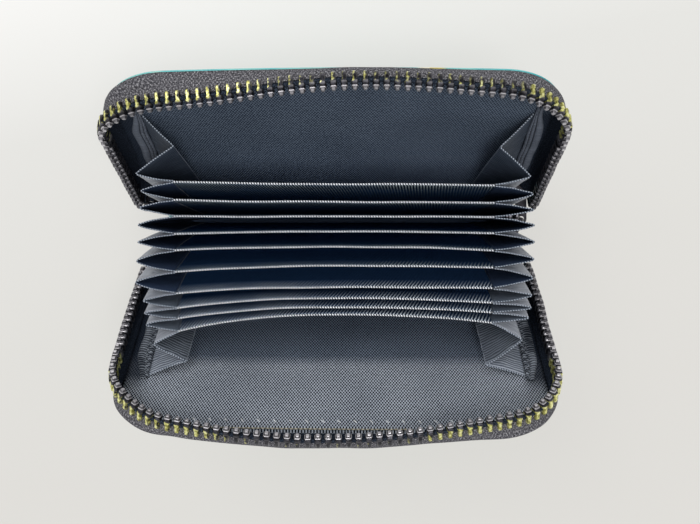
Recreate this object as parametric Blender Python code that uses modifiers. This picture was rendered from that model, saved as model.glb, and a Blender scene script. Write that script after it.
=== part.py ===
# Zip-around card holder, opened out and standing on its spine.
#
# Frame: metres, +Z up, +X along the spine, +Y towards the back cover.
# The origin is on the underside of the spine, at its middle.
# Sizes below are in millimetres and are turned into metres where a mesh is made.

import math

import bmesh
import bpy
from mathutils import Matrix, Vector

MM = 0.001

# Clearances
GAP = 0.3

# Half width of the card pockets, which the pleats, covers, spine, zip and slider follow outwards
DIVIDER_HALF_WIDTH = 41.6
PLEAT_DEPTH = 9.9
COVER_SIDE_ROOM = 6.0
FOLD_SIDE_ROOM = 1.5

# Covers: two stiff panels hinged on the two folds of the spine
FOLD_SPACING = 20.0
FOLD_HEIGHT = 1.2
FOLD_ROLL_RADIUS = 1.1
COVER_OPEN_DEG = 29.0
COVER_HEIGHT = 73.0
COVER_HALF_WIDTH = DIVIDER_HALF_WIDTH + PLEAT_DEPTH + COVER_SIDE_ROOM
COVER_FOLD_HALF_WIDTH = DIVIDER_HALF_WIDTH + PLEAT_DEPTH + FOLD_SIDE_ROOM
COVER_CORNER_RADIUS = 16.0
WAIST_START = 4.0
WAIST_END = 18.0
SHELL_THICKNESS = 0.9
BOARD_THICKNESS = 0.8
LINING_THICKNESS = 0.3
BOARD_MARGIN = 1.5
BOARD_FOLD_MARGIN = 3.0
LINING_FOLD_MARGIN = 2.0

# Zip around three sides of each cover
TAPE_THICKNESS = 0.6
TAPE_MARGIN = 0.8
# Place of the teeth on the sides, at the two top corners and where the opened zip bulges out of the
# top edge: outwards of the cover's edge, inwards of its fold plane, and outward tilt in degrees
BACK_TEETH_SIDE = (1.6, 7.6, 2.0)
BACK_TEETH_LEFT = (-3.0, 6.3, -28.0)
BACK_TEETH_RIGHT = (-0.6, 5.8, -10.0)
BACK_TEETH_TOP = (1.9, 4.4, -4.0)
FRONT_TEETH_SIDE = (0.6, 7.6, 0.0)
FRONT_TEETH_LEFT = (-1.0, 6.9, -17.0)
FRONT_TEETH_RIGHT = (0.0, 6.5, -6.0)
FRONT_TEETH_TOP = (4.9, 4.3, 11.0)
# Middle of each bulge, how far it runs to both sides, and how sharp it is
BACK_BULGE = (8.0, 53.0, 1.8)
FRONT_BULGE = (-5.0, 48.5, 1.0)
CHAIN_START_RIGHT = 13.5
CHAIN_START_LEFT = 8.0
TOOTH_PITCH = 2.5
TOOTH_WIDTH = 1.5
TOOTH_HEAD = 1.8
TOOTH_LEGS = 2.0
TOOTH_THICKNESS = 2.3
CORD_RADIUS = 0.75
TOP_STOP_LENGTH = 3.0
ZIP_LINE_STEPS = 16

# Spine
SPINE_SHELL_THICKNESS = 1.0
SPINE_HALF_LENGTH = COVER_FOLD_HALF_WIDTH + 0.5
SPINE_LINING_THICKNESS = 0.4
SPINE_LINING_MARGIN = 1.0

# Accordion of ten dividers, counted from the back cover
DIVIDER_LEAN_DEG = (12.0, 8.4, 5.7, 2.9, 0.0, -4.1, -9.0, -10.7, -11.8, -12.4)
DIVIDER_BOW = (0.0, 0.0, 0.0, 0.0, 0.0, 0.2, 0.4, 0.6, 0.8, 1.0)
DIVIDER_PITCH = 1.5
DIVIDER_HEIGHT = 50.0
DIVIDER_THICKNESS = 0.5
DIVIDER_HEM_THICKNESS = 0.9
DIVIDER_HEM_HEIGHT = 2.6
FIXED_DIVIDER = 5

# Pleats that close the sides of the accordion
PLEAT_THICKNESS = 0.3
PLEAT_SEAM_OFFSET = 0.27
PLEAT_FOOT_DEPTH = 5.6
PLEAT_TIP_X = DIVIDER_HALF_WIDTH + PLEAT_DEPTH
PLEAT_FOOT_TIP_X = DIVIDER_HALF_WIDTH + PLEAT_FOOT_DEPTH
PLEAT_TIP_FULL_HEIGHT = 26.0
PLEAT_TIP_LEAST_WIDTH = 0.6
PLEAT_TIP_SHARE = 0.22
PLEAT_FOOT = 1.8
PLEAT_TOP_DROP = 0.4

# Larger gussets between the outer dividers and the covers
GUSSET_FOOT = 4.0
GUSSET_DEPTH = 9.2
GUSSET_FOLD_INSET = 0.2
GUSSET_FOOT_FOLD_INSET = 3.6
GUSSET_SEAM_MARGIN = 7.2
GUSSET_TIP_X = DIVIDER_HALF_WIDTH + GUSSET_DEPTH
GUSSET_FOLD_X = DIVIDER_HALF_WIDTH - GUSSET_FOLD_INSET
GUSSET_FOOT_FOLD_X = DIVIDER_HALF_WIDTH - GUSSET_FOOT_FOLD_INSET
GUSSET_SEAM_X = COVER_HALF_WIDTH - GUSSET_SEAM_MARGIN
GUSSET_FOOT_SHARES = (0.36, 0.68)
BACK_GUSSET_SHARES = (0.13, 0.53)
FRONT_GUSSET_SHARES = (0.36, 0.76)
GUSSET_FLAT = 0.5

# Slider, parked at the right end of the zip
SLIDER_Y = 4.0
SLIDER_FOOT = 3.9
SLIDER_LENGTH = 10.0
SLIDER_WIDTH = 8.6
SLIDER_PLEAT_CLEARANCE = 3.8
SLIDER_INNER_X = PLEAT_FOOT_TIP_X + SLIDER_PLEAT_CLEARANCE
SLIDER_THICKNESS = 4.2
SLIDER_PLATE = 0.85
SLIDER_CHANNEL_HALF_WIDTH = 3.0
SLIDER_SLOT = 1.2
SLIDER_POST_WIDTH = 1.6
SLIDER_POST_LENGTH = 2.5
BRIDGE_FOOT = 5.2
BRIDGE_TOP = 10.0
BRIDGE_REACH = 2.5
BRIDGE_WIRE = 0.55
TAIL_LENGTH = 7.2
TAIL_TAPE_HALF_WIDTH = 4.3
BOTTOM_STOP_FOOT = 2.05
BOTTOM_STOP_HEIGHT = 1.5
BOTTOM_STOP_WIDTH = 4.6

# Pull tab, turned sideways on the slider's bridge
PULL_LENGTH = 24.0
PULL_EYE_WIDTH = 3.2
PULL_END_WIDTH = 4.4
PULL_THICKNESS = 1.0
PULL_EYE_RADIUS = 0.95
PULL_DROOP_DEG = 15.5

BACK = 1
FRONT = -1
RIGHT = 1
LEFT = -1

COLOURS = {
    "shell": ((0.10, 0.42, 0.47), 0.45, 0.0),
    "board": ((0.42, 0.36, 0.29), 0.9, 0.0),
    "lining": ((0.030, 0.036, 0.052), 0.85, 0.0),
    "divider": ((0.028, 0.034, 0.050), 0.85, 0.0),
    "pleat": ((0.13, 0.14, 0.17), 0.6, 0.0),
    "tape": ((0.12, 0.12, 0.13), 0.9, 0.0),
    "gunmetal": ((0.20, 0.19, 0.18), 0.35, 1.0),
}


# Scene and object helpers


def clear_scene():
    for obj in list(bpy.data.objects):
        bpy.data.objects.remove(obj, do_unlink=True)


def make_collection(name, hidden):
    collection = bpy.data.collections.new(name)
    bpy.context.scene.collection.children.link(collection)
    collection.hide_render = hidden
    return collection


def material_for(node, finish):
    colour, roughness, metallic = COLOURS[finish]
    material = bpy.data.materials.new(node)
    material.use_nodes = True
    shader = material.node_tree.nodes["Principled BSDF"]
    shader.inputs["Base Color"].default_value = (*colour, 1.0)
    shader.inputs["Roughness"].default_value = roughness
    shader.inputs["Metallic"].default_value = metallic
    return material


def axis_empty(name, point, parent=None):
    """An empty that stands on a joint's axis. Its children keep their world places."""
    empty = bpy.data.objects.new(name, None)
    PARTS.objects.link(empty)
    empty.empty_display_size = 5 * MM
    empty.location = Vector(point) * MM
    bpy.context.view_layer.update()
    if parent is not None:
        keep_in_place(empty, parent)
    return empty


def keep_in_place(obj, parent):
    bpy.context.view_layer.update()
    obj.parent = parent
    obj.matrix_parent_inverse = parent.matrix_world.inverted()
    bpy.context.view_layer.update()


def add_node(name, data, finish, parent=None, matrix=None):
    obj = bpy.data.objects.new(name, data)
    PARTS.objects.link(obj)
    data.materials.append(material_for(name, finish))
    if matrix is not None:
        obj.matrix_world = matrix
    if parent is not None:
        keep_in_place(obj, parent)
    return obj


def mesh_from(bm, name):
    """Ends a mesh built in millimetres: turns its faces outwards and scales it to metres."""
    bm.normal_update()
    bmesh.ops.recalc_face_normals(bm, faces=bm.faces)
    bmesh.ops.scale(bm, vec=(MM, MM, MM), verts=bm.verts)
    mesh = bpy.data.meshes.new(name)
    bm.to_mesh(mesh)
    bm.free()
    return mesh


def box_mesh(name, low, high):
    bm = bmesh.new()
    bmesh.ops.create_cube(bm, size=1.0)
    size = Vector(high) - Vector(low)
    centre = (Vector(high) + Vector(low)) / 2
    bmesh.ops.scale(bm, vec=size, verts=bm.verts)
    bmesh.ops.translate(bm, vec=centre, verts=bm.verts)
    return mesh_from(bm, name)


def cylinder_mesh(name, radius, start, end, segments):
    """A capped cylinder between two points."""
    run = Vector(end) - Vector(start)
    bm = bmesh.new()
    bmesh.ops.create_cone(
        bm,
        cap_ends=True,
        segments=segments,
        radius1=radius,
        radius2=radius,
        depth=run.length,
    )
    turn = Vector((0, 0, 1)).rotation_difference(run).to_matrix()
    bmesh.ops.rotate(bm, cent=(0, 0, 0), matrix=turn, verts=bm.verts)
    bmesh.ops.translate(bm, vec=(Vector(start) + Vector(end)) / 2, verts=bm.verts)
    return mesh_from(bm, name)


def sheet_mesh(name, rows):
    """An open sheet from rows of points, every row with the same number of points."""
    bm = bmesh.new()
    grid = [[bm.verts.new(point) for point in row] for row in rows]
    for low, high in zip(grid, grid[1:]):
        for i in range(len(low) - 1):
            bm.faces.new((low[i], low[i + 1], high[i + 1], high[i]))
    return mesh_from(bm, name)


def thicken(obj, thickness):
    """Gives an open sheet its thickness, half to each side."""
    solidify = obj.modifiers.new("thickness", "SOLIDIFY")
    solidify.thickness = thickness * MM
    solidify.offset = 0.0
    return solidify


def bevel(obj, width, segments=2):
    modifier = obj.modifiers.new("rounded edges", "BEVEL")
    modifier.width = width * MM
    modifier.segments = segments
    modifier.limit_method = "ANGLE"
    modifier.angle_limit = math.radians(40)
    return modifier


def cutter_object(name, mesh, matrix=None):
    obj = bpy.data.objects.new(name, mesh)
    CUTTERS.objects.link(obj)
    obj.hide_render = True
    obj.display_type = "WIRE"
    if matrix is not None:
        obj.matrix_world = matrix
    return obj


def boolean(obj, cutter, operation):
    modifier = obj.modifiers.new(operation.lower() + " " + cutter.name, "BOOLEAN")
    modifier.operation = operation
    modifier.solver = "EXACT"
    modifier.object = cutter
    return modifier


def smooth(obj, degrees=35):
    obj.data.shade_smooth()
    obj.data.set_sharp_from_angle(angle=math.radians(degrees))


def outline_solid(name, points, thickness):
    """A flat outline as a filled 2D curve, made a welded mesh. It lies in X and Z, centred on Y."""
    curve = bpy.data.curves.new(name + " outline", "CURVE")
    curve.dimensions = "2D"
    curve.fill_mode = "BOTH"
    curve.extrude = thickness / 2 * MM
    spline = curve.splines.new("POLY")
    spline.points.add(len(points) - 1)
    for place, (x, z) in zip(spline.points, points):
        place.co = (x * MM, z * MM, 0.0, 1.0)
    spline.use_cyclic_u = True
    guide = bpy.data.objects.new(name + " outline", curve)
    CUTTERS.objects.link(guide)
    guide.rotation_euler = (math.pi / 2, 0, 0)
    bpy.context.view_layer.update()
    graph = bpy.context.evaluated_depsgraph_get()
    mesh = bpy.data.meshes.new_from_object(guide.evaluated_get(graph))
    mesh.transform(guide.matrix_world)
    bpy.data.objects.remove(guide, do_unlink=True)
    bm = bmesh.new()
    bm.from_mesh(mesh)
    bmesh.ops.remove_doubles(bm, verts=bm.verts, dist=1e-6)
    bmesh.ops.recalc_face_normals(bm, faces=bm.faces)
    bm.to_mesh(mesh)
    bm.free()
    mesh.name = name
    return mesh


# Shape of a cover


def ease(value):
    """0 below 0, 1 above 1, and a smooth step between."""
    t = min(max(value, 0.0), 1.0)
    return t * t * (3 - 2 * t)


def side_half_width(up):
    """Half width of a cover at a height above its fold: narrower at the spine."""
    share = ease((up - WAIST_START) / (WAIST_END - WAIST_START))
    return COVER_FOLD_HALF_WIDTH + (COVER_HALF_WIDTH - COVER_FOLD_HALF_WIDTH) * share


def right_edge(start, inset, steps_side, steps_corner):
    """Points (x, up) on the right half of a cover's edge, from the start height to the top's middle."""
    radius = COVER_CORNER_RADIUS - inset
    centre_x = COVER_HALF_WIDTH - COVER_CORNER_RADIUS
    centre_up = COVER_HEIGHT - COVER_CORNER_RADIUS
    points = []
    waist_stop = WAIST_END + 2.0
    for i in range(steps_side):
        up = start + (waist_stop - start) * i / steps_side
        points.append((side_half_width(up) - inset, up))
    points.append((COVER_HALF_WIDTH - inset, waist_stop))
    for i in range(steps_corner + 1):
        turn = math.pi / 2 * i / steps_corner
        x = centre_x + radius * math.cos(turn)
        points.append((x, centre_up + radius * math.sin(turn)))
    return points


def cover_outline(start, inset, steps_side=5, steps_corner=9):
    right = right_edge(start, inset, steps_side, steps_corner)
    left = [(-x, up) for x, up in reversed(right)]
    return right + left


def cover_matrix(side):
    """Cover frame to world: X across, Z up the cover, Y out of the wallet's closed thickness."""
    place = Matrix.Translation(Vector((0, side * FOLD_SPACING / 2, FOLD_HEIGHT)) * MM)
    return place @ Matrix.Rotation(math.radians(-side * COVER_OPEN_DEG), 4, "X")


def cover_point(side, x, up, inward):
    """World place in millimetres of a point given in the cover's own terms."""
    lean = math.radians(COVER_OPEN_DEG)
    y = FOLD_SPACING / 2 + up * math.sin(lean) - inward * math.cos(lean)
    z = FOLD_HEIGHT + up * math.cos(lean) + inward * math.sin(lean)
    return Vector((x, side * y, z))


SHELL_MIDDLE = -0.1 - SHELL_THICKNESS / 2
BOARD_MIDDLE = -0.1 + GAP + BOARD_THICKNESS / 2
LINING_MIDDLE = -0.1 + GAP + BOARD_THICKNESS + GAP + LINING_THICKNESS / 2
COVER_INNER_FACE = LINING_MIDDLE + LINING_THICKNESS / 2
TAPE_FOOT = -0.1 + GAP + TAPE_THICKNESS / 2


def cover_plate(name, side, outline, middle, thickness, finish, axis):
    mesh = outline_solid(name, outline, thickness)
    shift = Matrix.Translation(Vector((0, -side * middle, 0)) * MM)
    mesh.transform(shift)
    return add_node(name, mesh, finish, axis, cover_matrix(side))


def build_shell(name, side, axis):
    """Outer skin with the rolled edge that turns on the spine's fold."""
    outline = cover_outline(0.0, 0.0)
    shell = cover_plate(name, side, outline, SHELL_MIDDLE, SHELL_THICKNESS, "shell", axis)
    reach = COVER_FOLD_HALF_WIDTH
    roll_mesh = cylinder_mesh(name + " roll", FOLD_ROLL_RADIUS, (-reach, 0, 0), (reach, 0, 0), 20)
    roll = cutter_object(name + " roll", roll_mesh, cover_matrix(side))
    boolean(shell, roll, "UNION")
    smooth(shell)
    return shell


# Zip stringers


def teeth_place(side, x, up):
    """Where the teeth are at a place on the edge: outwards, inwards and tilt."""
    if side == BACK:
        flank, left, right, top = BACK_TEETH_SIDE, BACK_TEETH_LEFT, BACK_TEETH_RIGHT, BACK_TEETH_TOP
        centre, half_span, power = BACK_BULGE
    else:
        flank, left, right, top = FRONT_TEETH_SIDE, FRONT_TEETH_LEFT, FRONT_TEETH_RIGHT, FRONT_TEETH_TOP
        centre, half_span, power = FRONT_BULGE
    near_top = ease((up - COVER_HEIGHT + COVER_CORNER_RADIUS) / COVER_CORNER_RADIUS)
    along = min(abs(x - centre) / half_span, 1.0)
    bulge = near_top * math.cos(math.pi / 2 * along) ** power
    corner = left if x < centre else right
    shares = (1 - near_top, near_top - bulge, bulge)
    return [sum(k * v for k, v in zip(shares, places)) for places in zip(flank, corner, top)]


def stringer_stations(side, start_right, start_left):
    """Dense stations along a cover's zip: (foot of the tape, middle of the teeth, way they point)."""
    steps = (ZIP_LINE_STEPS, ZIP_LINE_STEPS)
    right = right_edge(start_right, TAPE_MARGIN, *steps)
    left = [(-x, up) for x, up in reversed(right_edge(start_left, TAPE_MARGIN, *steps))]
    edge = []
    for (x0, up0), (x1, up1) in zip(right + left, (right + left)[1:]):
        pieces = max(1, round(math.hypot(x1 - x0, up1 - up0) / 1.5))
        for i in range(pieces):
            t = i / pieces
            edge.append(Vector((x0 + (x1 - x0) * t, up0 + (up1 - up0) * t)))
    edge.append(Vector(left[-1]))
    stations = []
    for i, place in enumerate(edge):
        before = edge[max(i - 1, 0)]
        after = edge[min(i + 1, len(edge) - 1)]
        along = (after - before).normalized()
        outward = Vector((along.y, -along.x, 0.0))
        push, inward, tilt = teeth_place(side, place.x, place.y)
        foot = Vector((place.x, place.y, TAPE_FOOT))
        middle = Vector((place.x, place.y, inward)) + outward * (TAPE_MARGIN + push)
        turn = math.radians(tilt)
        reach = outward * math.sin(turn) + Vector((0.0, 0.0, math.cos(turn)))
        stations.append((foot, middle, reach))
    return stations


def resample(stations, spacing, offset):
    """Stations at equal steps along the line of teeth, as (foot, middle, reach, along)."""
    found = []
    goal = offset
    passed = 0.0
    for (foot0, mid0, reach0), (foot1, mid1, reach1) in zip(stations, stations[1:]):
        length = (mid1 - mid0).length
        along = (mid1 - mid0).normalized()
        while goal <= passed + length:
            t = (goal - passed) / length
            reach = reach0.lerp(reach1, t)
            reach = (reach - along * reach.dot(along)).normalized()
            found.append((foot0.lerp(foot1, t), mid0.lerp(mid1, t), reach, along))
            goal += spacing
        passed += length
    return found


def cover_local(side, point):
    """Cover terms (x, up, inward) to the cover's own mesh axes."""
    return Vector((point.x, -side * point.z, point.y))


TOOTH_SECTION = (
    (-TOOTH_LEGS, 0.38 * TOOTH_THICKNESS),
    (0.2, 0.5 * TOOTH_THICKNESS),
    (TOOTH_HEAD, 0.3 * TOOTH_THICKNESS),
)
CORD_SECTION = (
    (-1.1 * CORD_RADIUS, 0.5 * CORD_RADIUS),
    (0.0, CORD_RADIUS),
    (0.9 * CORD_RADIUS, 0.5 * CORD_RADIUS),
)


def ring_points(side, middle, reach, along, shift, half_section):
    """One closed ring of the stringer: a mirrored half section, set across the line of teeth."""
    across = along.cross(reach).normalized()
    centre = middle + along * shift
    upper = [(u, w) for u, w in half_section]
    lower = [(u, -w) for u, w in reversed(half_section)]
    return [cover_local(side, centre + reach * u + across * w) for u, w in upper + lower]


def build_teeth(name, side, axis):
    """Metal teeth on their cord, as one body: a loft whose section swells at each tooth."""
    stations = stringer_stations(side, CHAIN_START_RIGHT, CHAIN_START_LEFT)
    teeth = resample(stations, TOOTH_PITCH, TOOTH_PITCH / 2)
    rings = []
    for _, middle, reach, along in teeth:
        rings.append(ring_points(side, middle, reach, along, -TOOTH_PITCH / 2, CORD_SECTION))
        rings.append(ring_points(side, middle, reach, along, -TOOTH_WIDTH / 2, TOOTH_SECTION))
        rings.append(ring_points(side, middle, reach, along, TOOTH_WIDTH / 2, TOOTH_SECTION))
    _, middle, reach, along = teeth[-1]
    rings.append(ring_points(side, middle, reach, along, TOOTH_PITCH / 2, CORD_SECTION))
    bm = bmesh.new()
    made = [[bm.verts.new(point) for point in ring] for ring in rings]
    count = len(made[0])
    for low, high in zip(made, made[1:]):
        for i in range(count):
            j = (i + 1) % count
            bm.faces.new((low[i], low[j], high[j], high[i]))
    bm.faces.new(made[0])
    bm.faces.new(made[-1])
    return add_node(name, mesh_from(bm, name), "gunmetal", axis, cover_matrix(side))


def build_tape(name, side, axis):
    """Woven tape that stands inwards from the cover's edge in a curve and carries the teeth."""
    stations = stringer_stations(side, CHAIN_START_RIGHT, CHAIN_START_LEFT)
    columns = resample(stations, TOOTH_PITCH * 1.6, 0.05)
    rows = []
    for foot, middle, reach, _ in columns:
        end = middle - reach * (TOOTH_LEGS + GAP)
        bend = end - reach * ((end - foot).length / 2)
        points = [foot.lerp(bend, t).lerp(bend.lerp(end, t), t) for t in (0.0, 0.35, 0.7, 1.0)]
        rows.append([cover_local(side, point) for point in points])
    tape = add_node(name, sheet_mesh(name, rows), "tape", axis, cover_matrix(side))
    thicken(tape, TAPE_THICKNESS)
    smooth(tape)
    return tape


def build_top_stop(name, side, axis):
    """Small clamp next to the last tooth at the left end of a stringer."""
    stations = stringer_stations(side, CHAIN_START_RIGHT, CHAIN_START_LEFT)
    _, middle, reach, along = resample(stations, TOOTH_PITCH, TOOTH_PITCH / 2)[-1]
    centre = middle + along * (TOOTH_PITCH / 2 + GAP + TOP_STOP_LENGTH / 2)
    across = along.cross(reach).normalized()
    half = (TOP_STOP_LENGTH / 2, (TOOTH_LEGS + TOOTH_HEAD) / 2 * 0.8, TOOTH_THICKNESS / 2)
    bm = bmesh.new()
    bmesh.ops.create_cube(bm, size=2.0)
    for vert in bm.verts:
        u, v, w = vert.co
        point = centre + along * (u * half[0]) + reach * (v * half[1]) + across * (w * half[2])
        vert.co = cover_local(side, point)
    stop = add_node(name, mesh_from(bm, name), "gunmetal", axis, cover_matrix(side))
    bevel(stop, 0.35)
    return stop


def build_cover(word, side, axis):
    build_shell(word + "_shell", side, axis)
    board = cover_outline(BOARD_FOLD_MARGIN, BOARD_MARGIN)
    cover_plate(word + "_board", side, board, BOARD_MIDDLE, BOARD_THICKNESS, "board", axis)
    lining = cover_outline(LINING_FOLD_MARGIN, BOARD_MARGIN)
    cover_plate(word + "_lining", side, lining, LINING_MIDDLE, LINING_THICKNESS, "lining", axis)
    build_tape(word + "_zip_tape", side, axis)
    build_teeth(word + "_zip_teeth", side, axis)
    build_top_stop(word + "_zip_top_stop", side, axis)


# Spine


def build_spine(axis):
    half = FOLD_SPACING / 2 - FOLD_ROLL_RADIUS - GAP
    low = (-SPINE_HALF_LENGTH, -half, 0.0)
    high = (SPINE_HALF_LENGTH, half, SPINE_SHELL_THICKNESS)
    shell = add_node("spine_shell", box_mesh("spine_shell", low, high), "shell", axis)
    bevel(shell, 0.3)
    foot = SPINE_SHELL_THICKNESS + GAP
    reach = SPINE_HALF_LENGTH - SPINE_LINING_MARGIN
    low = (-reach, -half + 0.4, foot)
    high = (reach, half - 0.4, foot + SPINE_LINING_THICKNESS)
    add_node("spine_lining", box_mesh("spine_lining", low, high), "lining", axis)


DIVIDER_FOOT = SPINE_SHELL_THICKNESS + GAP + SPINE_LINING_THICKNESS + GAP


# Dividers


def divider_base(number):
    """Y of a divider's foot. Number 1 is next to the back cover."""
    return ((len(DIVIDER_LEAN_DEG) + 1) / 2 - number) * DIVIDER_PITCH


def divider_point(number, x, up, off=0.0):
    """World place of a point on a divider: across, up from its foot, and off its face towards +Y."""
    lean = math.radians(DIVIDER_LEAN_DEG[number - 1])
    bow = DIVIDER_BOW[number - 1] * (x / DIVIDER_HALF_WIDTH) ** 2 * up / DIVIDER_HEIGHT
    local_y = off - bow
    y = divider_base(number) + up * math.sin(lean) + local_y * math.cos(lean)
    z = DIVIDER_FOOT + up * math.cos(lean) - local_y * math.sin(lean)
    return Vector((x, y, z))


def build_divider(number, axis):
    name = "divider_%02d" % number
    columns = 8
    hem_start = DIVIDER_HEIGHT - DIVIDER_HEM_HEIGHT
    heights = (0.0, 0.4 * hem_start, 0.75 * hem_start, hem_start, hem_start + 0.2, DIVIDER_HEIGHT)
    rows = []
    for up in heights:
        across = [DIVIDER_HALF_WIDTH * (2 * i / columns - 1) for i in range(columns + 1)]
        rows.append([divider_point(number, x, up) for x in across])
    divider = add_node(name, sheet_mesh(name, rows), "divider", axis)
    hem = divider.vertex_groups.new(name="hem")
    first = (len(heights) - 2) * (columns + 1)
    hem.add(range(first, first + 2 * (columns + 1)), 1.0, "REPLACE")
    solidify = thicken(divider, DIVIDER_HEM_THICKNESS)
    solidify.vertex_group = "hem"
    solidify.thickness_vertex_group = DIVIDER_THICKNESS / DIVIDER_HEM_THICKNESS
    return divider


# Pleats


def tip_reach(height, tip_x):
    """How far out a fold's tip stands at a height: less near the spine."""
    share = min(height / PLEAT_TIP_FULL_HEIGHT, 1.0)
    return PLEAT_FOOT_TIP_X + (tip_x - PLEAT_FOOT_TIP_X) * share


def build_pleat(number, end, axis):
    """The outward fold between dividers number and number + 1, at one end of the accordion."""
    word = "right" if end == RIGHT else "left"
    name = "pleat_%s_%02d" % (word, number)
    seam_x = DIVIDER_HALF_WIDTH + GAP
    rows = []
    for up in (PLEAT_FOOT, 14.0, PLEAT_TIP_FULL_HEIGHT, DIVIDER_HEIGHT - PLEAT_TOP_DROP):
        back = divider_point(number, end * DIVIDER_HALF_WIDTH, up, -PLEAT_SEAM_OFFSET)
        front = divider_point(number + 1, end * DIVIDER_HALF_WIDTH, up, PLEAT_SEAM_OFFSET)
        middle = (back + front) / 2
        spread = (back - front).length
        half_tip = max(PLEAT_TIP_LEAST_WIDTH, PLEAT_TIP_SHARE * spread) / 2
        toward = (back - front).normalized() * half_tip
        tip_x = end * tip_reach(up, PLEAT_TIP_X)
        row = [
            Vector((end * seam_x, back.y, back.z)),
            Vector((tip_x, middle.y + toward.y, middle.z + toward.z)),
            Vector((tip_x, middle.y - toward.y, middle.z - toward.z)),
            Vector((end * seam_x, front.y, front.z)),
        ]
        rows.append(row)
    pleat = add_node(name, sheet_mesh(name, rows), "pleat", axis)
    thicken(pleat, PLEAT_THICKNESS)
    return pleat


def build_gusset(word, side, end, axis):
    """The W-shaped fold between an outer divider and its cover, at one end."""
    name = "gusset_%s_%s" % (word, "right" if end == RIGHT else "left")
    number = 1 if side == BACK else len(DIVIDER_LEAN_DEG)
    top_shares = BACK_GUSSET_SHARES if side == BACK else FRONT_GUSSET_SHARES
    seam_x = DIVIDER_HALF_WIDTH + GAP
    face = COVER_INNER_FACE + GAP + PLEAT_THICKNESS / 2
    lean = math.radians(COVER_OPEN_DEG)
    rows = []
    for share in (0.0, 0.25, 0.5, 1.0):
        top = DIVIDER_HEIGHT - PLEAT_TOP_DROP
        up = GUSSET_FOOT + (top - GUSSET_FOOT) * share
        seam = divider_point(number, end * DIVIDER_HALF_WIDTH, up, side * PLEAT_SEAM_OFFSET)
        cover_up = (seam.z - FOLD_HEIGHT - face * math.sin(lean)) / math.cos(lean)
        cover = cover_point(side, end * GUSSET_SEAM_X, cover_up, face)
        shares = [low + (high - low) * share for low, high in zip(GUSSET_FOOT_SHARES, top_shares)]
        tip_y, fold_y = [seam.y + (cover.y - seam.y) * s for s in shares]
        flat = side * GUSSET_FLAT / 2
        tip_x = end * tip_reach(up, GUSSET_TIP_X)
        fold_x = end * (GUSSET_FOOT_FOLD_X + (GUSSET_FOLD_X - GUSSET_FOOT_FOLD_X) * share)
        cover_x = end * tip_reach(up, GUSSET_SEAM_X)
        row = [
            Vector((end * seam_x, seam.y, seam.z)),
            Vector((tip_x, tip_y - flat, seam.z)),
            Vector((tip_x, tip_y + flat, seam.z)),
            Vector((fold_x, fold_y - flat, seam.z)),
            Vector((fold_x, fold_y + flat, seam.z)),
            Vector((cover_x, cover.y, cover.z)),
        ]
        rows.append(row)
    gusset = add_node(name, sheet_mesh(name, rows), "pleat", axis)
    thicken(gusset, PLEAT_THICKNESS)
    return gusset


# Zip end, slider and pull


SLIDER_MIDDLE_X = SLIDER_INNER_X + SLIDER_THICKNESS / 2


def build_zip_end(axis):
    """The short closed tail of the zip that the parked slider sits on, and its bottom stop."""
    foot = SLIDER_FOOT
    top = SLIDER_FOOT + TAIL_LENGTH
    tape_low = (SLIDER_MIDDLE_X - TAPE_THICKNESS / 2, SLIDER_Y - TAIL_TAPE_HALF_WIDTH, foot)
    tape_high = (SLIDER_MIDDLE_X + TAPE_THICKNESS / 2, SLIDER_Y + TAIL_TAPE_HALF_WIDTH, top)
    tail = add_node("zip_tail", box_mesh("zip_tail", tape_low, tape_high), "gunmetal", axis)
    rows = int(TAIL_LENGTH / TOOTH_PITCH * 2)
    for i in range(rows):
        hand = 1 if i % 2 else -1
        middle = foot + 0.75 + i * TOOTH_PITCH / 2
        inner = SLIDER_Y - hand * 0.7
        outer = SLIDER_Y + hand * 2.6
        half = TOOTH_PITCH / 4 + 0.06
        low = (SLIDER_MIDDLE_X - 1.0, min(inner, outer), middle - half)
        high = (SLIDER_MIDDLE_X + 1.0, max(inner, outer), middle + half)
        tooth = cutter_object("tail tooth %d" % i, box_mesh("tail tooth", low, high))
        boolean(tail, tooth, "UNION")
    low = (SLIDER_MIDDLE_X - 1.2, SLIDER_Y - BOTTOM_STOP_WIDTH / 2, BOTTOM_STOP_FOOT)
    high = (
        SLIDER_MIDDLE_X + 1.2,
        SLIDER_Y + BOTTOM_STOP_WIDTH / 2,
        BOTTOM_STOP_FOOT + BOTTOM_STOP_HEIGHT,
    )
    stop = add_node("zip_bottom_stop", box_mesh("zip_bottom_stop", low, high), "gunmetal", axis)
    bevel(stop, 0.4)


def slider_outline():
    """Seen from outside: two shoulders at the mouth, a waist, and a narrower rear."""
    half = SLIDER_WIDTH / 2
    length = SLIDER_LENGTH
    right = [
        (0.62 * half, 0.0),
        (0.74 * half, 0.04 * length),
        (0.78 * half, 0.45 * length),
        (half, 0.68 * length),
        (half, 0.88 * length),
        (0.80 * half, length),
        (0.30 * half, length),
        (0.12 * half, 0.95 * length),
    ]
    left = [(-y, z) for y, z in reversed(right)]
    return right + left


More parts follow.
